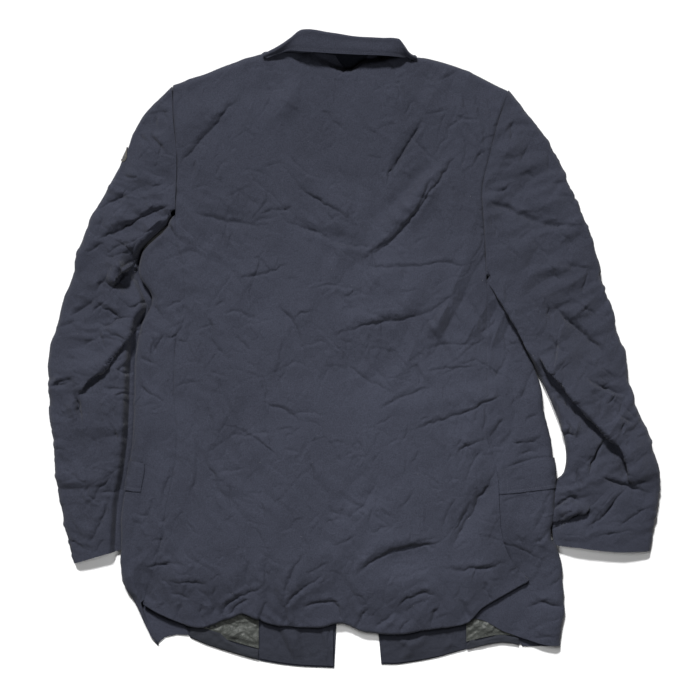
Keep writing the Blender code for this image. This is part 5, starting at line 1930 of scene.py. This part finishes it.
# ---------------------------------------------------------------- collar
@dataclass
class Collar:
    """Collar: up the stand, round the roll and down the fall."""

    form: BodyForm
    columns: tuple[int, int, int] = (12, 10, 14)
    rows: int = 120
    roll: float = 2.6
    lift: float = 4.0
    ends: tuple[float, float] = (-125.0, 85.0)

    def piece(self) -> Cloth:
        """Shape the collar."""
        form = self.form
        x = np.linspace(*self.ends, self.rows + 1)[None, :]
        roll_y, roll_z, fall_x, fall_y, fall_z = (COLLAR.read(name, x) for name in COLLAR.names[1:])
        foot_y = np.minimum(form.top.read("y", x) + 0.9, roll_y - 2 * self.roll)
        inside = ease(-122, -98, x) * ease(84, 68, x)
        foot_z = form.shoulder_height + form.wall + form.layer_gap
        foot_z = lerp(foot_z, form.upper(x, form.top.read("y", x)) - 1.0, inside)
        top_y, lower_z = roll_y - self.roll, roll_z - 2 * self.roll
        t = np.linspace(0.0, 1.0, self.columns[0], endpoint=False)[:, None]
        stand = stack(x, lerp(foot_y, top_y, t), lerp(foot_z, lower_z, t))
        angle = math.pi * np.linspace(0.0, 1.0, self.columns[1], endpoint=False)[:, None]
        round_y = top_y + self.roll * np.sin(angle)
        over = stack(x, round_y, roll_z - self.roll - self.roll * np.cos(angle))
        t = shares_across(self.columns[2])
        tips = ease(-106, -66, x) * ease(78, 50, x)
        lift = lerp(-0.3 * self.lift, self.lift, tips) * ease(0.0, 0.8, t)
        fall = stack(lerp(x, fall_x, t), lerp(top_y, fall_y, t), lerp(roll_z, fall_z, t) + lift)
        base = np.concatenate([stand, over, fall])
        relief = 0.5 * noise(base[..., 0] / 26, base[..., 1] / 12, 83)
        relief += 0.25 * crumple(base[..., 0], base[..., 1], 18.0, 89)
        kept = np.concatenate([np.zeros(self.columns[0]), np.linspace(0, 1, self.columns[1])])
        kept = np.concatenate([kept, np.ones(self.columns[2] + 1)])[:, None]
        edge = np.concatenate([np.zeros(sum(self.columns[:2])), 1 - ease(0.0, 0.16, 1 - t[:, 0])])
        relief = relief * kept + 0.5 * edge[:, None]
        return Cloth("collar_cloth", base, relief, form.wall, facing=(0.8, 0.5))


@dataclass
class UnderCollarFeltAndShade:
    """Felt of the under-collar in the dip behind the neck. Its near-black colour is partly the felt's own
    and partly painted shade that stands in for the dip's deep shadow.
    """

    form: BodyForm
    columns: int = 70
    rows: int = 14
    ends: tuple[float, float] = (-40.0, 84.0)

    def piece(self) -> Cloth:
        """Shape the felt, the sheet of painted shade, where it meets the neck seam."""
        form = self.form
        x = np.linspace(*self.ends, self.columns + 1)[:, None]
        top = form.top.read("y", x) + 3.0
        beneath = ease(71, 77, x)
        # lower edge follows the outline of the dark dip, so the near-black felt paints the shade there
        rise = 24.0 * ease(-6, -40, x) + 9.0 * ease(48, 66, x)
        low = np.minimum(form.neck.read("y", x) + 8.5 + rise, top - 4.0) - 8.0 * beneath
        y = lerp(low, top, shares_along(self.rows))
        z = form.upper(x, y) + form.wall / 2 + 2.0 - 5.5 * beneath
        base = stack(x, y, z)
        relief = 0.5 * noise(base[..., 0] / 14, base[..., 1] / 9, 97)
        return Cloth("under_collar_felt_and_shade", base, relief, form.thin_wall, facing=(0.5, 0.5), inner_step=2)


# ---------------------------------------------------------------- pieces laid on a panel
@dataclass
class PocketFlap:
    """Pocket flap on a side panel, round its fold and beneath it."""

    panel: SidePanel
    start: float
    low: float
    high: float
    slope: float
    columns: int = 60
    rows: int = 20

    def piece(self) -> Cloth:
        """Shape the flap from the panel's own surface."""
        form, panel = self.panel.form, self.panel
        f = np.linspace(self.start, panel.end - 0.1, self.columns + 1)[:, None]
        u, v = shares_across(self.columns), shares_along(self.rows)
        drop = self.slope * ease(panel.top_end + 1, self.start, f)
        y = lerp(self.low, self.high, v) - drop * lerp(0.5, 1.0, v)
        surface = panel.section(f, y)
        du = panel.section(f + 0.02, y) - panel.section(f - 0.02, y)
        dv = panel.section(f, y + 0.3) - panel.section(f, y - 0.3)
        angle = panel.turn(f)
        out = stack(panel.side.value * np.sin(angle), 0.0 * y, np.cos(angle) + 0.0 * y)
        normal = turned_to(normals_from(du, dv), out)
        on_panel = panel.relief(f, surface)
        lift = form.wall / 2 + 0.4 + form.thin_wall / 2
        base = surface + normal * (lift + on_panel)[..., None]
        puffed = 0.5 * np.sin(math.pi * np.clip(v, 0, 1)) * ease(0.0, 0.2, u)
        sewn = -0.35 * (bell((v - 0.12) / 0.035) + bell((u - 0.05) / 0.02))
        name = f"pocket_flap_{panel.side.label}_cloth"
        return Cloth(name, base, puffed + sewn, form.thin_wall, facing=(0.05, 0.5), inner_step=2)


@dataclass
class Badge:
    """Round cloth patch on the outer edge of the left sleeve."""

    sleeve: Sleeve
    radius: float = 10.5
    wall: float = 1.2
    v: float = 0.165
    share: float = 0.40
    sleeve_length: float = 702.0
    steps: int = 40
    rays: int = 8
    ring_lift: float = 3.45
    ray_lift: float = 3.35

    def surface(self, across: Array, down: Array, lift: float) -> Array:
        """Points of the patch.

        Args:
            across: distance from its middle round the sleeve's edge.
            down: distance from its middle down the sleeve.
            lift: height over the sleeve's middle of the wall.
        Returns:
            The points.
        """
        share = self.share + across / self.sleeve.outer_length
        v = self.v + down / self.sleeve_length

        def at(round_share: Array, length_share: Array) -> Array:
            """Point of the sleeve's outer edge."""
            return self.sleeve.section("outer", round_share, length_share)

        du, dv = at(share + 0.01, v) - at(share - 0.01, v), at(share, v + 0.001) - at(share, v - 0.001)
        turned = math.pi * share
        out = stack(-np.sin(turned), 0.0 * turned, np.cos(turned))
        return at(share, v) + turned_to(normals_from(du, dv), out) * lift

    def piece(self) -> Cloth:
        """Shape the patch, with a raised rim and a plain star of eight rays."""
        a = np.linspace(-1.0, 1.0, self.steps + 1)[:, None]
        b = a.T
        across = self.radius * a * np.sqrt(1 - b * b / 2)
        down = self.radius * b * np.sqrt(1 - a * a / 2)
        base = self.surface(across, down, self.sleeve.form.wall / 2 + 1.0 + self.wall / 2)
        reach = np.hypot(across, down) / self.radius
        rays = 0.5 + 0.5 * np.cos(self.rays * np.arctan2(down, across))
        relief = 0.6 * bell((reach - 0.9) / 0.07) + 0.4 * ease(0.62, 0.2, reach) * rays
        return Cloth("sleeve_badge_cloth", base, relief, self.wall, (-1.0, 0.0, 0.3), (0.5, 0.5), 2)

    def rows(self) -> list[Array]:
        """Lines of the embroidery: three rings and the rays."""
        turn = np.linspace(0.0, 2 * math.pi, 61)
        made = []
        for radius in (0.84 * self.radius, 0.9 * self.radius, 0.96 * self.radius):
            made.append(self.surface(radius * np.cos(turn), radius * np.sin(turn), self.ring_lift))
        reach = np.linspace(0.12, 0.6, 8) * self.radius
        for k in range(self.rays):
            angle = 2 * math.pi * k / self.rays
            made.append(self.surface(reach * math.cos(angle), reach * math.sin(angle), self.ray_lift))
        return made


# ---------------------------------------------------------------- finishes
class Nodes:
    """Short way to add and join the nodes of one tree."""

    def __init__(self, tree: bpy.types.NodeTree) -> None:
        """Keep the tree."""
        self.tree = tree

    def add(self, kind: str, links: dict | None = None, **values: object) -> bpy.types.Node:
        """Add a node.

        Args:
            kind: Blender's name of the node.
            links: sockets of other nodes, or fixed values, by the name or place of an input.
            values: settings of the node.
        Returns:
            The node.
        """
        node = self.tree.nodes.new(kind)
        for name, value in values.items():
            setattr(node, name, value)
        for name, source in (links or {}).items():
            socket = node.inputs[name]
            if isinstance(source, bpy.types.NodeSocket):
                self.tree.links.new(source, socket)
            else:
                socket.default_value = source
        return node

    def scaled(self, value: Socket, gain: float, offset: Socket | float) -> Socket:
        """Value times gain, plus offset."""
        links = {0: value, 1: gain, 2: offset}
        return self.add("ShaderNodeMath", links, operation="MULTIPLY_ADD").outputs[0]

    def spread(self, value: Socket, **ends: float) -> Socket:
        """Value moved from one range to another, whose ends are 0 and 1 unless they are given."""
        links = {name.replace("_", " "): end for name, end in ends.items()}
        return self.add("ShaderNodeMapRange", {"Value": value, **links}).outputs[0]

    def noise(self, place: Socket, scale: float, detail: float, **more: float) -> bpy.types.Node:
        """Random field of the size 1 / scale metres."""
        links = {"Vector": place, "Scale": scale, "Detail": detail, **more}
        return self.add("ShaderNodeTexNoise", links)

    def mixed(self, share: Socket, low: Colour, high: Colour) -> Socket:
        """Colour between low and high."""
        links = {0: share, 6: (*low, 1.0), 7: (*high, 1.0)}
        return self.add("ShaderNodeMix", links, data_type="RGBA").outputs[2]

    def bump(self, height: Socket, strength: float, distance: float, **more: Socket) -> Socket:
        """Normals bent by a height."""
        links = {"Strength": strength, "Distance": distance, "Height": height, **more}
        return self.add("ShaderNodeBump", links).outputs[0]

    def surface(self, colour: Socket, rough: Socket, normal: Socket, links: dict | None = None) -> None:
        """End a material with its shader."""
        given = {"Base Color": colour, "Roughness": rough, "Normal": normal, **(links or {})}
        shader = self.add("ShaderNodeBsdfPrincipled", given)
        self.add("ShaderNodeOutputMaterial", {"Surface": shader.outputs[0]})


def start_material(name: str) -> tuple[bpy.types.Material, Nodes]:
    """Material without nodes, and a way to add them."""
    material = bpy.data.materials.new(name)
    material.use_nodes = True
    material.node_tree.nodes.clear()
    return material, Nodes(material.node_tree)


@dataclass(frozen=True)
class ClothFinish:
    """Woven cloth: its colour, weave, nap and small creases."""

    name: str
    colour: Colour
    rub: Colour
    roughness: float = 0.86
    sheen: float = 0.06
    gloss: float = 0.15
    rib: float = 0.00075
    rib_depth: float = 0.00012
    wrinkle: float = 0.0007
    wrinkle_size: float = 0.011
    bend: float = 0.016
    twill_angle: float = 0.98
    band_width: float = 0.314

    def material(self) -> bpy.types.Material:
        """Make the material."""
        material, nodes = start_material(self.name)
        grid, around = (nodes.add("ShaderNodeTexCoord").outputs[name] for name in ("UV", "Object"))
        twill = nodes.add("ShaderNodeMapping", {"Vector": grid, "Rotation": (0, 0, self.twill_angle)})
        bands = self.band_width / self.rib
        weave = {"Scale": bands, "Distortion": 1.2, "Detail": 1.0, "Detail Scale": 1.5}
        rib = nodes.add("ShaderNodeTexWave", {"Vector": twill.outputs[0], **weave})
        weave = {"Scale": bands * 1.7, "Distortion": 0.8, "Detail": 1.0}
        weft = nodes.add("ShaderNodeTexWave", {"Vector": grid, **weave}, bands_direction="Y")
        nap = nodes.noise(around, 620.0, 3.0, Roughness=0.65)
        patch = nodes.noise(around, 8.0, 4.0, Roughness=0.6).outputs["Fac"]
        small = nodes.noise(around, 1.0 / self.wrinkle_size, 4.0, Roughness=0.55, Distortion=0.6)
        worn = nodes.scaled(patch, 0.5, nodes.scaled(nap.outputs["Fac"], 1.25, 0.12))
        level = nodes.spread(nodes.scaled(rib.outputs["Fac"], 0.16, worn), From_Min=0.72, From_Max=1.37)
        rough = {"To_Min": self.roughness - 0.06, "To_Max": min(self.roughness + 0.08, 1.0)}
        crossed = nodes.scaled(rib.outputs["Fac"], 1.0, weft.outputs["Fac"])
        bent = nodes.add(
            "ShaderNodeVectorMath",
            {0: small.outputs["Color"], 1: (self.bend, self.bend, self.bend), 2: around},
            operation="MULTIPLY_ADD",
        )
        cells = {"Vector": bent.outputs[0], "Scale": 0.55 / self.wrinkle_size, "Randomness": 1.0}
        folds = nodes.add("ShaderNodeTexVoronoi", cells, feature="DISTANCE_TO_EDGE").outputs["Distance"]
        lines = nodes.spread(folds, From_Max=0.09, To_Min=0.0, To_Max=0.5)
        low = nodes.bump(nodes.scaled(small.outputs["Fac"], 1.0, lines), 0.55, self.wrinkle)
        high = nodes.bump(crossed, 0.7, self.rib_depth, Normal=low)
        cloth = {"Sheen Weight": self.sheen, "Sheen Roughness": 0.45, "Specular IOR Level": self.gloss}
        colour = nodes.mixed(level, self.colour, self.rub)
        nodes.surface(colour, nodes.spread(patch, **rough), high, cloth)
        return material


@dataclass(frozen=True)
class ThreadFinish:
    """Twisted thread of stitches, embroidery or lint."""

    name: str
    colour: Colour
    roughness: float = 0.6
    twist: float = 0.0005

    def material(self) -> bpy.types.Material:
        """Make the material."""
        material, nodes = start_material(self.name)
        place = nodes.add("ShaderNodeTexCoord").outputs["Object"]
        fibre = nodes.noise(place, 1 / self.twist, 2.0).outputs["Fac"]
        colour = nodes.mixed(fibre, tuple(c * 0.7 for c in self.colour), self.colour)
        rough = nodes.spread(fibre, To_Min=self.roughness, To_Max=0.9)
        nodes.surface(colour, rough, nodes.bump(fibre, 0.5, 0.0001))
        return material


NAVY = ClothFinish("navy_suiting", (0.0175, 0.019, 0.0285), (0.0375, 0.041, 0.059))
# darker copy of the navy suiting: painted shade for the inner faces that lie under the back's hem
SHADED_INNER_NAVY = ClothFinish("navy_facing_shaded", (0.0145, 0.016, 0.0235), (0.0275, 0.03, 0.042))
# darker still: painted shade for the navy hem turn-ups lying deep under the back's hem
SHADED_TURN_UP = ClothFinish("hem_turn_up", (0.014, 0.016, 0.021), (0.026, 0.028, 0.036))
LINING = ClothFinish(
    "body_lining", (0.018, 0.021, 0.019), (0.06, 0.065, 0.058), 0.5, 0.1, 0.5,
    rib=0.0005, rib_depth=0.00005, wrinkle=0.0024, wrinkle_size=0.006,
)
# near-black felt: partly the under-collar's own colour, partly painted shade for the dip behind the neck
FELT_AND_SHADE = ClothFinish("collar_felt_and_shade", (0.007, 0.008, 0.012), (0.015, 0.017, 0.023), 0.95, 0.0, 0.0)
PATCH = ClothFinish("badge_ground", (0.02, 0.022, 0.03), (0.04, 0.043, 0.055), 0.8, 0.1, 0.3, 0.0006)
NAVY_THREAD = ThreadFinish("navy_thread", (0.06, 0.065, 0.09))
GOLD_THREAD = ThreadFinish("badge_thread", (0.2, 0.17, 0.11), 0.5)
LINT = ThreadFinish("lint_fibre", (0.14, 0.14, 0.15), 0.9, 0.0003)


# ---------------------------------------------------------------- rows and scatters
@dataclass
class Scatter:
    """Geometry Nodes that repeat one small shape along lines or over cloth."""

    name: str
    sizes: dict[str, float]

    def __post_init__(self) -> None:
        """Start the tree with its named inputs, and keep the identifier of each."""
        self.tree = bpy.data.node_groups.new(self.name, "GeometryNodeTree")
        self.keys = {}
        self.socket("Geometry", "Geometry", "OUTPUT")
        self.socket("Geometry", "Geometry")
        for size, value in self.sizes.items():
            self.socket(size, "Float").default_value = value
        self.socket("Material", "Material")
        self.nodes = Nodes(self.tree)
        self.given = self.nodes.add("NodeGroupInput").outputs

    def socket(self, name: str, kind: str, way: str = "INPUT") -> bpy.types.NodeTreeInterfaceSocket:
        """Add an input or an output."""
        socket = self.tree.interface.new_socket(name, in_out=way, socket_type="NodeSocket" + kind)
        self.keys[name] = socket.identifier
        return socket

    def plant(self, links: dict[str, Socket]) -> None:
        """End the tree with a small ball at each point, as real faces with their material.

        Args:
            links: the points, and the balls' scale and turn.
        """
        add = self.nodes.add
        ball = add("GeometryNodeMeshIcoSphere", {"Radius": 0.5, "Subdivisions": 1}).outputs[0]
        placed = add("GeometryNodeInstanceOnPoints", {"Instance": ball, **links}).outputs[0]
        real = add("GeometryNodeRealizeInstances", {0: placed}).outputs[0]
        dressed = add("GeometryNodeSetMaterial", {"Geometry": real, "Material": self.given["Material"]})
        add("NodeGroupOutput", {0: dressed.outputs[0]})

    @classmethod
    def stitches(cls) -> "Scatter":
        """Scatter that sews a row of stitches along each line of edges."""
        made = cls("stitch_row", {"Pitch": 0.0028, "Stitch Length": 0.0019, "Thread": 0.0004})
        add, given = made.nodes.add, made.given
        curve = {"Curve": add("GeometryNodeMeshToCurve", {0: given[0]}).outputs[0], "Length": given["Pitch"]}
        even = add("GeometryNodeResampleCurve", curve, mode="LENGTH").outputs[0]
        tangent = add("GeometryNodeInputTangent").outputs[0]
        turn = add("FunctionNodeAlignRotationToVector", {"Vector": tangent}, axis="X").outputs[0]
        sizes = {0: given["Stitch Length"], 1: given["Thread"], 2: given["Thread"]}
        size = add("ShaderNodeCombineXYZ", sizes).outputs[0]
        made.plant({"Points": even, "Rotation": turn, "Scale": size})
        return made

    @classmethod
    def lint(cls) -> "Scatter":
        """Scatter of lint flecks over the faces that look up."""
        made = cls("lint_flecks", {"Density": 700.0, "Smallest": 0.0004, "Largest": 0.0011})
        add, given = made.nodes.add, made.given
        axes = add("ShaderNodeSeparateXYZ", {0: add("GeometryNodeInputNormal").outputs[0]})
        upward = add("FunctionNodeCompare", {0: axes.outputs[2], 1: 0.6}, operation="GREATER_THAN")
        spread = {"Mesh": given[0], "Selection": upward.outputs[0], "Density": given["Density"], "Seed": 5}
        points = add("GeometryNodeDistributePointsOnFaces", spread).outputs[0]
        sizes = {2: given["Smallest"], 3: given["Largest"], "Seed": 9}
        size = add("FunctionNodeRandomValue", sizes, data_type="FLOAT").outputs[1]
        made.plant({"Points": points, "Scale": size})
        return made

    def grow(self, name: str, host: bpy.types.Mesh, values: dict[str, object]) -> bpy.types.Object:
        """Run the tree on a host mesh and keep the result as a plain mesh.

        Args:
            name: name of the piece.
            host: lines or faces that the shapes follow.
            values: values of the tree's inputs by name.
        Returns:
            The piece.
        """
        carrier = add_object(name + "_host", host)
        modifier = carrier.modifiers.new(name, "NODES")
        modifier.node_group = self.tree
        for size, value in values.items():
            modifier[self.keys[size]] = value
        graph = bpy.context.evaluated_depsgraph_get()
        mesh = bpy.data.meshes.new_from_object(carrier.evaluated_get(graph))
        mesh.name = name
        bpy.data.objects.remove(carrier, do_unlink=True)
        return add_object(name, mesh)


def line_mesh(name: str, lines: Sequence[Array]) -> bpy.types.Mesh:
    """Mesh of open lines.

    Args:
        name: name of the mesh.
        lines: points of each line, in millimetres.
    Returns:
        The mesh.
    """
    mesh = bpy.data.meshes.new(name)
    points, edges = [], []
    for line in lines:
        edges += [(len(points) + k, len(points) + k + 1) for k in range(len(line) - 1)]
        points += metres(line)
    mesh.from_pydata(points, edges, [])
    return mesh


def shown_face(cloth: Cloth) -> Array:
    """Outer face of a cloth."""
    normal = cloth.outward()
    return cloth.base + normal * (cloth.wall / 2 + cloth.relief)[..., None]


# ---------------------------------------------------------------- the studio
@dataclass
class Studio:
    """Pale floor, soft light and the camera straight above the garment."""

    height: float = 2.28
    lens: float = 85.0
    centre: tuple[float, float] = (-0.0055, -0.0012)

    def build(self) -> None:
        """Make the floor, the lights and the camera."""
        scene = bpy.context.scene
        scene.view_settings.view_transform = "Standard"
        world = bpy.data.worlds.new("studio_air")
        world.use_nodes = True
        shade = world.node_tree.nodes["Background"]
        shade.inputs[0].default_value = (1.0, 1.0, 1.0, 1.0)
        shade.inputs[1].default_value = 0.12
        scene.world = world
        self.floor()
        self.light("window_light", (-2.6, 11.2, 11.6), 2.4, 4080.0)
        self.light("overhead_light", (0.0, -0.13, 0.62), 0.3, 2.1)
        camera = bpy.data.cameras.new("camera")
        camera.lens = self.lens
        camera.sensor_width = 36.0
        scene.camera = add_object("camera", camera)
        scene.camera.location = (*self.centre, self.height)

    @staticmethod
    def floor() -> None:
        """Make the pale floor just under the garment."""
        mesh = bpy.data.meshes.new("floor")
        reach = 6.0
        corners = [(-reach, -reach), (reach, -reach), (reach, reach), (-reach, reach)]
        mesh.from_pydata([(x, y, -0.0004) for x, y in corners], [], [(0, 1, 2, 3)])
        material = bpy.data.materials.new("pale_floor")
        material.use_nodes = True
        shader = material.node_tree.nodes["Principled BSDF"]
        shader.inputs["Base Color"].default_value = (0.9, 0.9, 0.9, 1.0)
        shader.inputs["Roughness"].default_value = 0.9
        shader.inputs["Specular IOR Level"].default_value = 0.0
        mesh.materials.append(material)
        add_object("floor", mesh)

    @staticmethod
    def light(name: str, place: tuple[float, float, float], size: float, power: float) -> None:
        """Add one soft light that looks at the garment.

        Args:
            name: name of the light.
            place: where it hangs.
            size: width of its disk.
            power: its strength in watts.
        """
        data = bpy.data.lights.new(name, "AREA")
        data.shape = "DISK"
        data.size = size
        data.energy = power
        lamp = add_object(name, data)
        lamp.location = place
        lamp.rotation_euler = (-Vector(place)).to_track_quat("-Z", "Y").to_euler()
        lamp.visible_camera = False


# ---------------------------------------------------------------- the tunic
class Held(Enum):
    """How a piece of cloth lies."""

    LAID = "laid"
    FOLDED = "folded"


class Tunic:
    """The whole tunic: cuts each piece, dresses it and sets it in the frame."""

    def __init__(self) -> None:
        """Start with the body's form and the materials."""
        self.form = BodyForm()
        finishes = (NAVY, SHADED_INNER_NAVY, SHADED_TURN_UP, LINING, FELT_AND_SHADE, PATCH, NAVY_THREAD, GOLD_THREAD, LINT)
        self.materials = {finish.name: finish.material() for finish in finishes}
        self.cloths: dict[str, Cloth] = {}

    def lay(
        self,
        cloth: Cloth,
        finish: ClothFinish,
        node: str,
        held: Held = Held.LAID,
        replaces: bool = True,
    ) -> None:
        """Args:
            cloth: the cut piece.
            finish: its finish.
            node: node of the frame that it stands for or lies on.
            held: how it lies; not used.
            replaces: whether it takes the node's place.
        """
        piece = cloth.build(self.materials[finish.name])
        self.cloths[cloth.name] = cloth
        if replaces:
            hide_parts(node)
        self.attach(piece, node)
        width, length, area = cloth.cut()

    @staticmethod
    def attach(piece: bpy.types.Object, node: str) -> None:
        """Fix a piece to the one rigid body, the frame's root."""
        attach(piece, "root")
        log.info("%s: %d faces", piece.name, len(piece.data.polygons))

    def build_body(self) -> None:
        """Lay the back, sides, fronts and lapels."""
        form = self.form
        for side in Side:
            self.lay(BackPanel(form, side).piece(), NAVY, "back", Held.FOLDED)
            front = "front_" + side.label
            panel = SidePanel(form, side)
            self.lay(panel.piece(), NAVY, "side_" + side.label, Held.FOLDED)
            self.lay(FrontPanel(form, side).piece(), SHADED_INNER_NAVY, front, Held.FOLDED)
            self.lay(Lapel(form, side).piece(), SHADED_INNER_NAVY, "lapel_" + side.label)

    def build_inside(self) -> None:
        """Lay the facings, linings and hem turn-ups that show below the back's hem."""
        form, left, right = self.form, Side.LEFT, Side.RIGHT
        bands = (
            InnerBand(form, "facing_left_cloth", left, -131.0, -29.5, 2.6, 0.0, 0.6, 60, 58),
            InnerBand(form, "facing_right_cloth", right, 38.5, 153.0, 2.6, 0.0, 0.5, 64, 56),
            InnerBand(form, "lining_left_cloth", left, -225.0, -132.0, 16.0, 0.0, 1.9, 84, 76),
            InnerBand(form, "lining_right_cloth", right, 154.0, 226.0, 12.0, 0.0, 1.4, 64, 66),
        )
        for band, node in zip(bands, ("facing_left", "facing_right", "lining_left", "lining_right")):
            finish = LINING if node.startswith("lining") else SHADED_INNER_NAVY
            self.lay(band.piece(), finish, node)
        strips = (
            InnerBand(form, "hem_turn_up_left", left, -226.0, -132.5, 1.0, 13.0, 0.8, 62, 20, 0.8, 2.0),
            InnerBand(form, "hem_turn_up_right", right, 155.0, 226.0, 1.0, 9.0, 0.8, 48, 12, 0.8),
        )
        for strip in strips:
            front = "front_" + strip.side.label
            self.lay(strip.piece(), SHADED_TURN_UP, front, replaces=False)

    def build_sleeves(self) -> None:
        """Lay both sleeves."""
        for side in Side:
            sleeve = Sleeve(self.form, side)
            lower = "topsleeve_" + side.label
            self.lay(sleeve.top_half(), NAVY, lower, Held.FOLDED)
            self.lay(sleeve.under_half(), NAVY, "undersleeve_" + side.label, Held.FOLDED)

    def build_collar(self) -> None:
        """Lay the collar, and its felt that paints the shade in the dip behind the neck, over the top of the
        back.
        """
        self.lay(UnderCollarFeltAndShade(self.form).piece(), FELT_AND_SHADE, "collar", replaces=False)
        self.lay(Collar(self.form).piece(), NAVY, "collar", Held.FOLDED)

    def build_trimmings(self) -> None:
        """Lay the pocket flaps and the badge, and sew the badge's embroidery."""
        left, right = SidePanel(self.form, Side.LEFT), SidePanel(self.form, Side.RIGHT)
        for flap in (
            PocketFlap(left, start=3.35, low=-194.0, high=-154.0, slope=3.0),
            PocketFlap(right, start=1.0, low=-191.0, high=-150.0, slope=15.0),
        ):
            label = flap.panel.side.label
            self.lay(flap.piece(), NAVY, "pocket_flap_" + label, Held.FOLDED)
        badge = Badge(Sleeve(self.form, Side.LEFT))
        self.lay(badge.piece(), PATCH, "sleeve_badge")
        sizes = {"Pitch": 0.0008, "Stitch Length": 0.0011, "Thread": 0.0006}
        self.sew("badge_embroidery", badge.rows(), GOLD_THREAD, "sleeve_badge", sizes)

    def sew(
        self,
        name: str,
        lines: Sequence[Array],
        finish: ThreadFinish,
        node: str,
        sizes: dict[str, object] | None = None,
    ) -> None:
        """Sew rows of stitches along lines on a piece.

        Args:
            name: name of the rows.
            lines: points of each row.
            finish: finish of the thread.
            node: node of the frame that the piece belongs to.
            sizes: sizes of the stitches where they differ from the usual ones.
        """
        values = {"Pitch": 0.003, "Stitch Length": 0.002, "Thread": 0.0004, **(sizes or {})}
        values["Material"] = self.materials[finish.name]
        self.attach(Scatter.stitches().grow(name, line_mesh(name, lines), values), node)

    def sew_rows(self) -> None:
        """Sew the edge rows of the flaps and the collar."""
        for label in ("left", "right"):
            face = shown_face(self.cloths[f"pocket_flap_{label}_cloth"])
            rows = [face[3:-4, 2], face[3, 2:-2]]
            self.sew(f"flap_stitches_{label}", rows, NAVY_THREAD, "pocket_flap_" + label)
        face = shown_face(self.cloths["collar_cloth"])
        self.sew("collar_stitches", [face[-3, 2:-2]], NAVY_THREAD, "collar")

    def shed_lint(self) -> None:
        """Scatter lint over the upward cloth."""
        flecks = Scatter.lint()
        for name in ("back_left", "back_right", "undersleeve_left", "undersleeve_right"):
            host = bpy.data.objects[name + "_cloth"].data.copy()
            values = {"Density": 130.0, "Material": self.materials[LINT.name]}
            piece = flecks.grow(name + "_lint", host, values)
            self.attach(piece, "back" if name.startswith("back") else name)


def main() -> None:
    """Build the studio and the tunic, piece by piece."""
    logging.basicConfig(level=logging.INFO, format="%(name)s: %(message)s")
    Studio().build()
    tunic = Tunic()
    tunic.build_body()
    tunic.build_inside()
    tunic.build_sleeves()
    tunic.build_collar()
    tunic.build_trimmings()
    tunic.sew_rows()
    tunic.shed_lint()


if __name__ == "__main__":
    main()
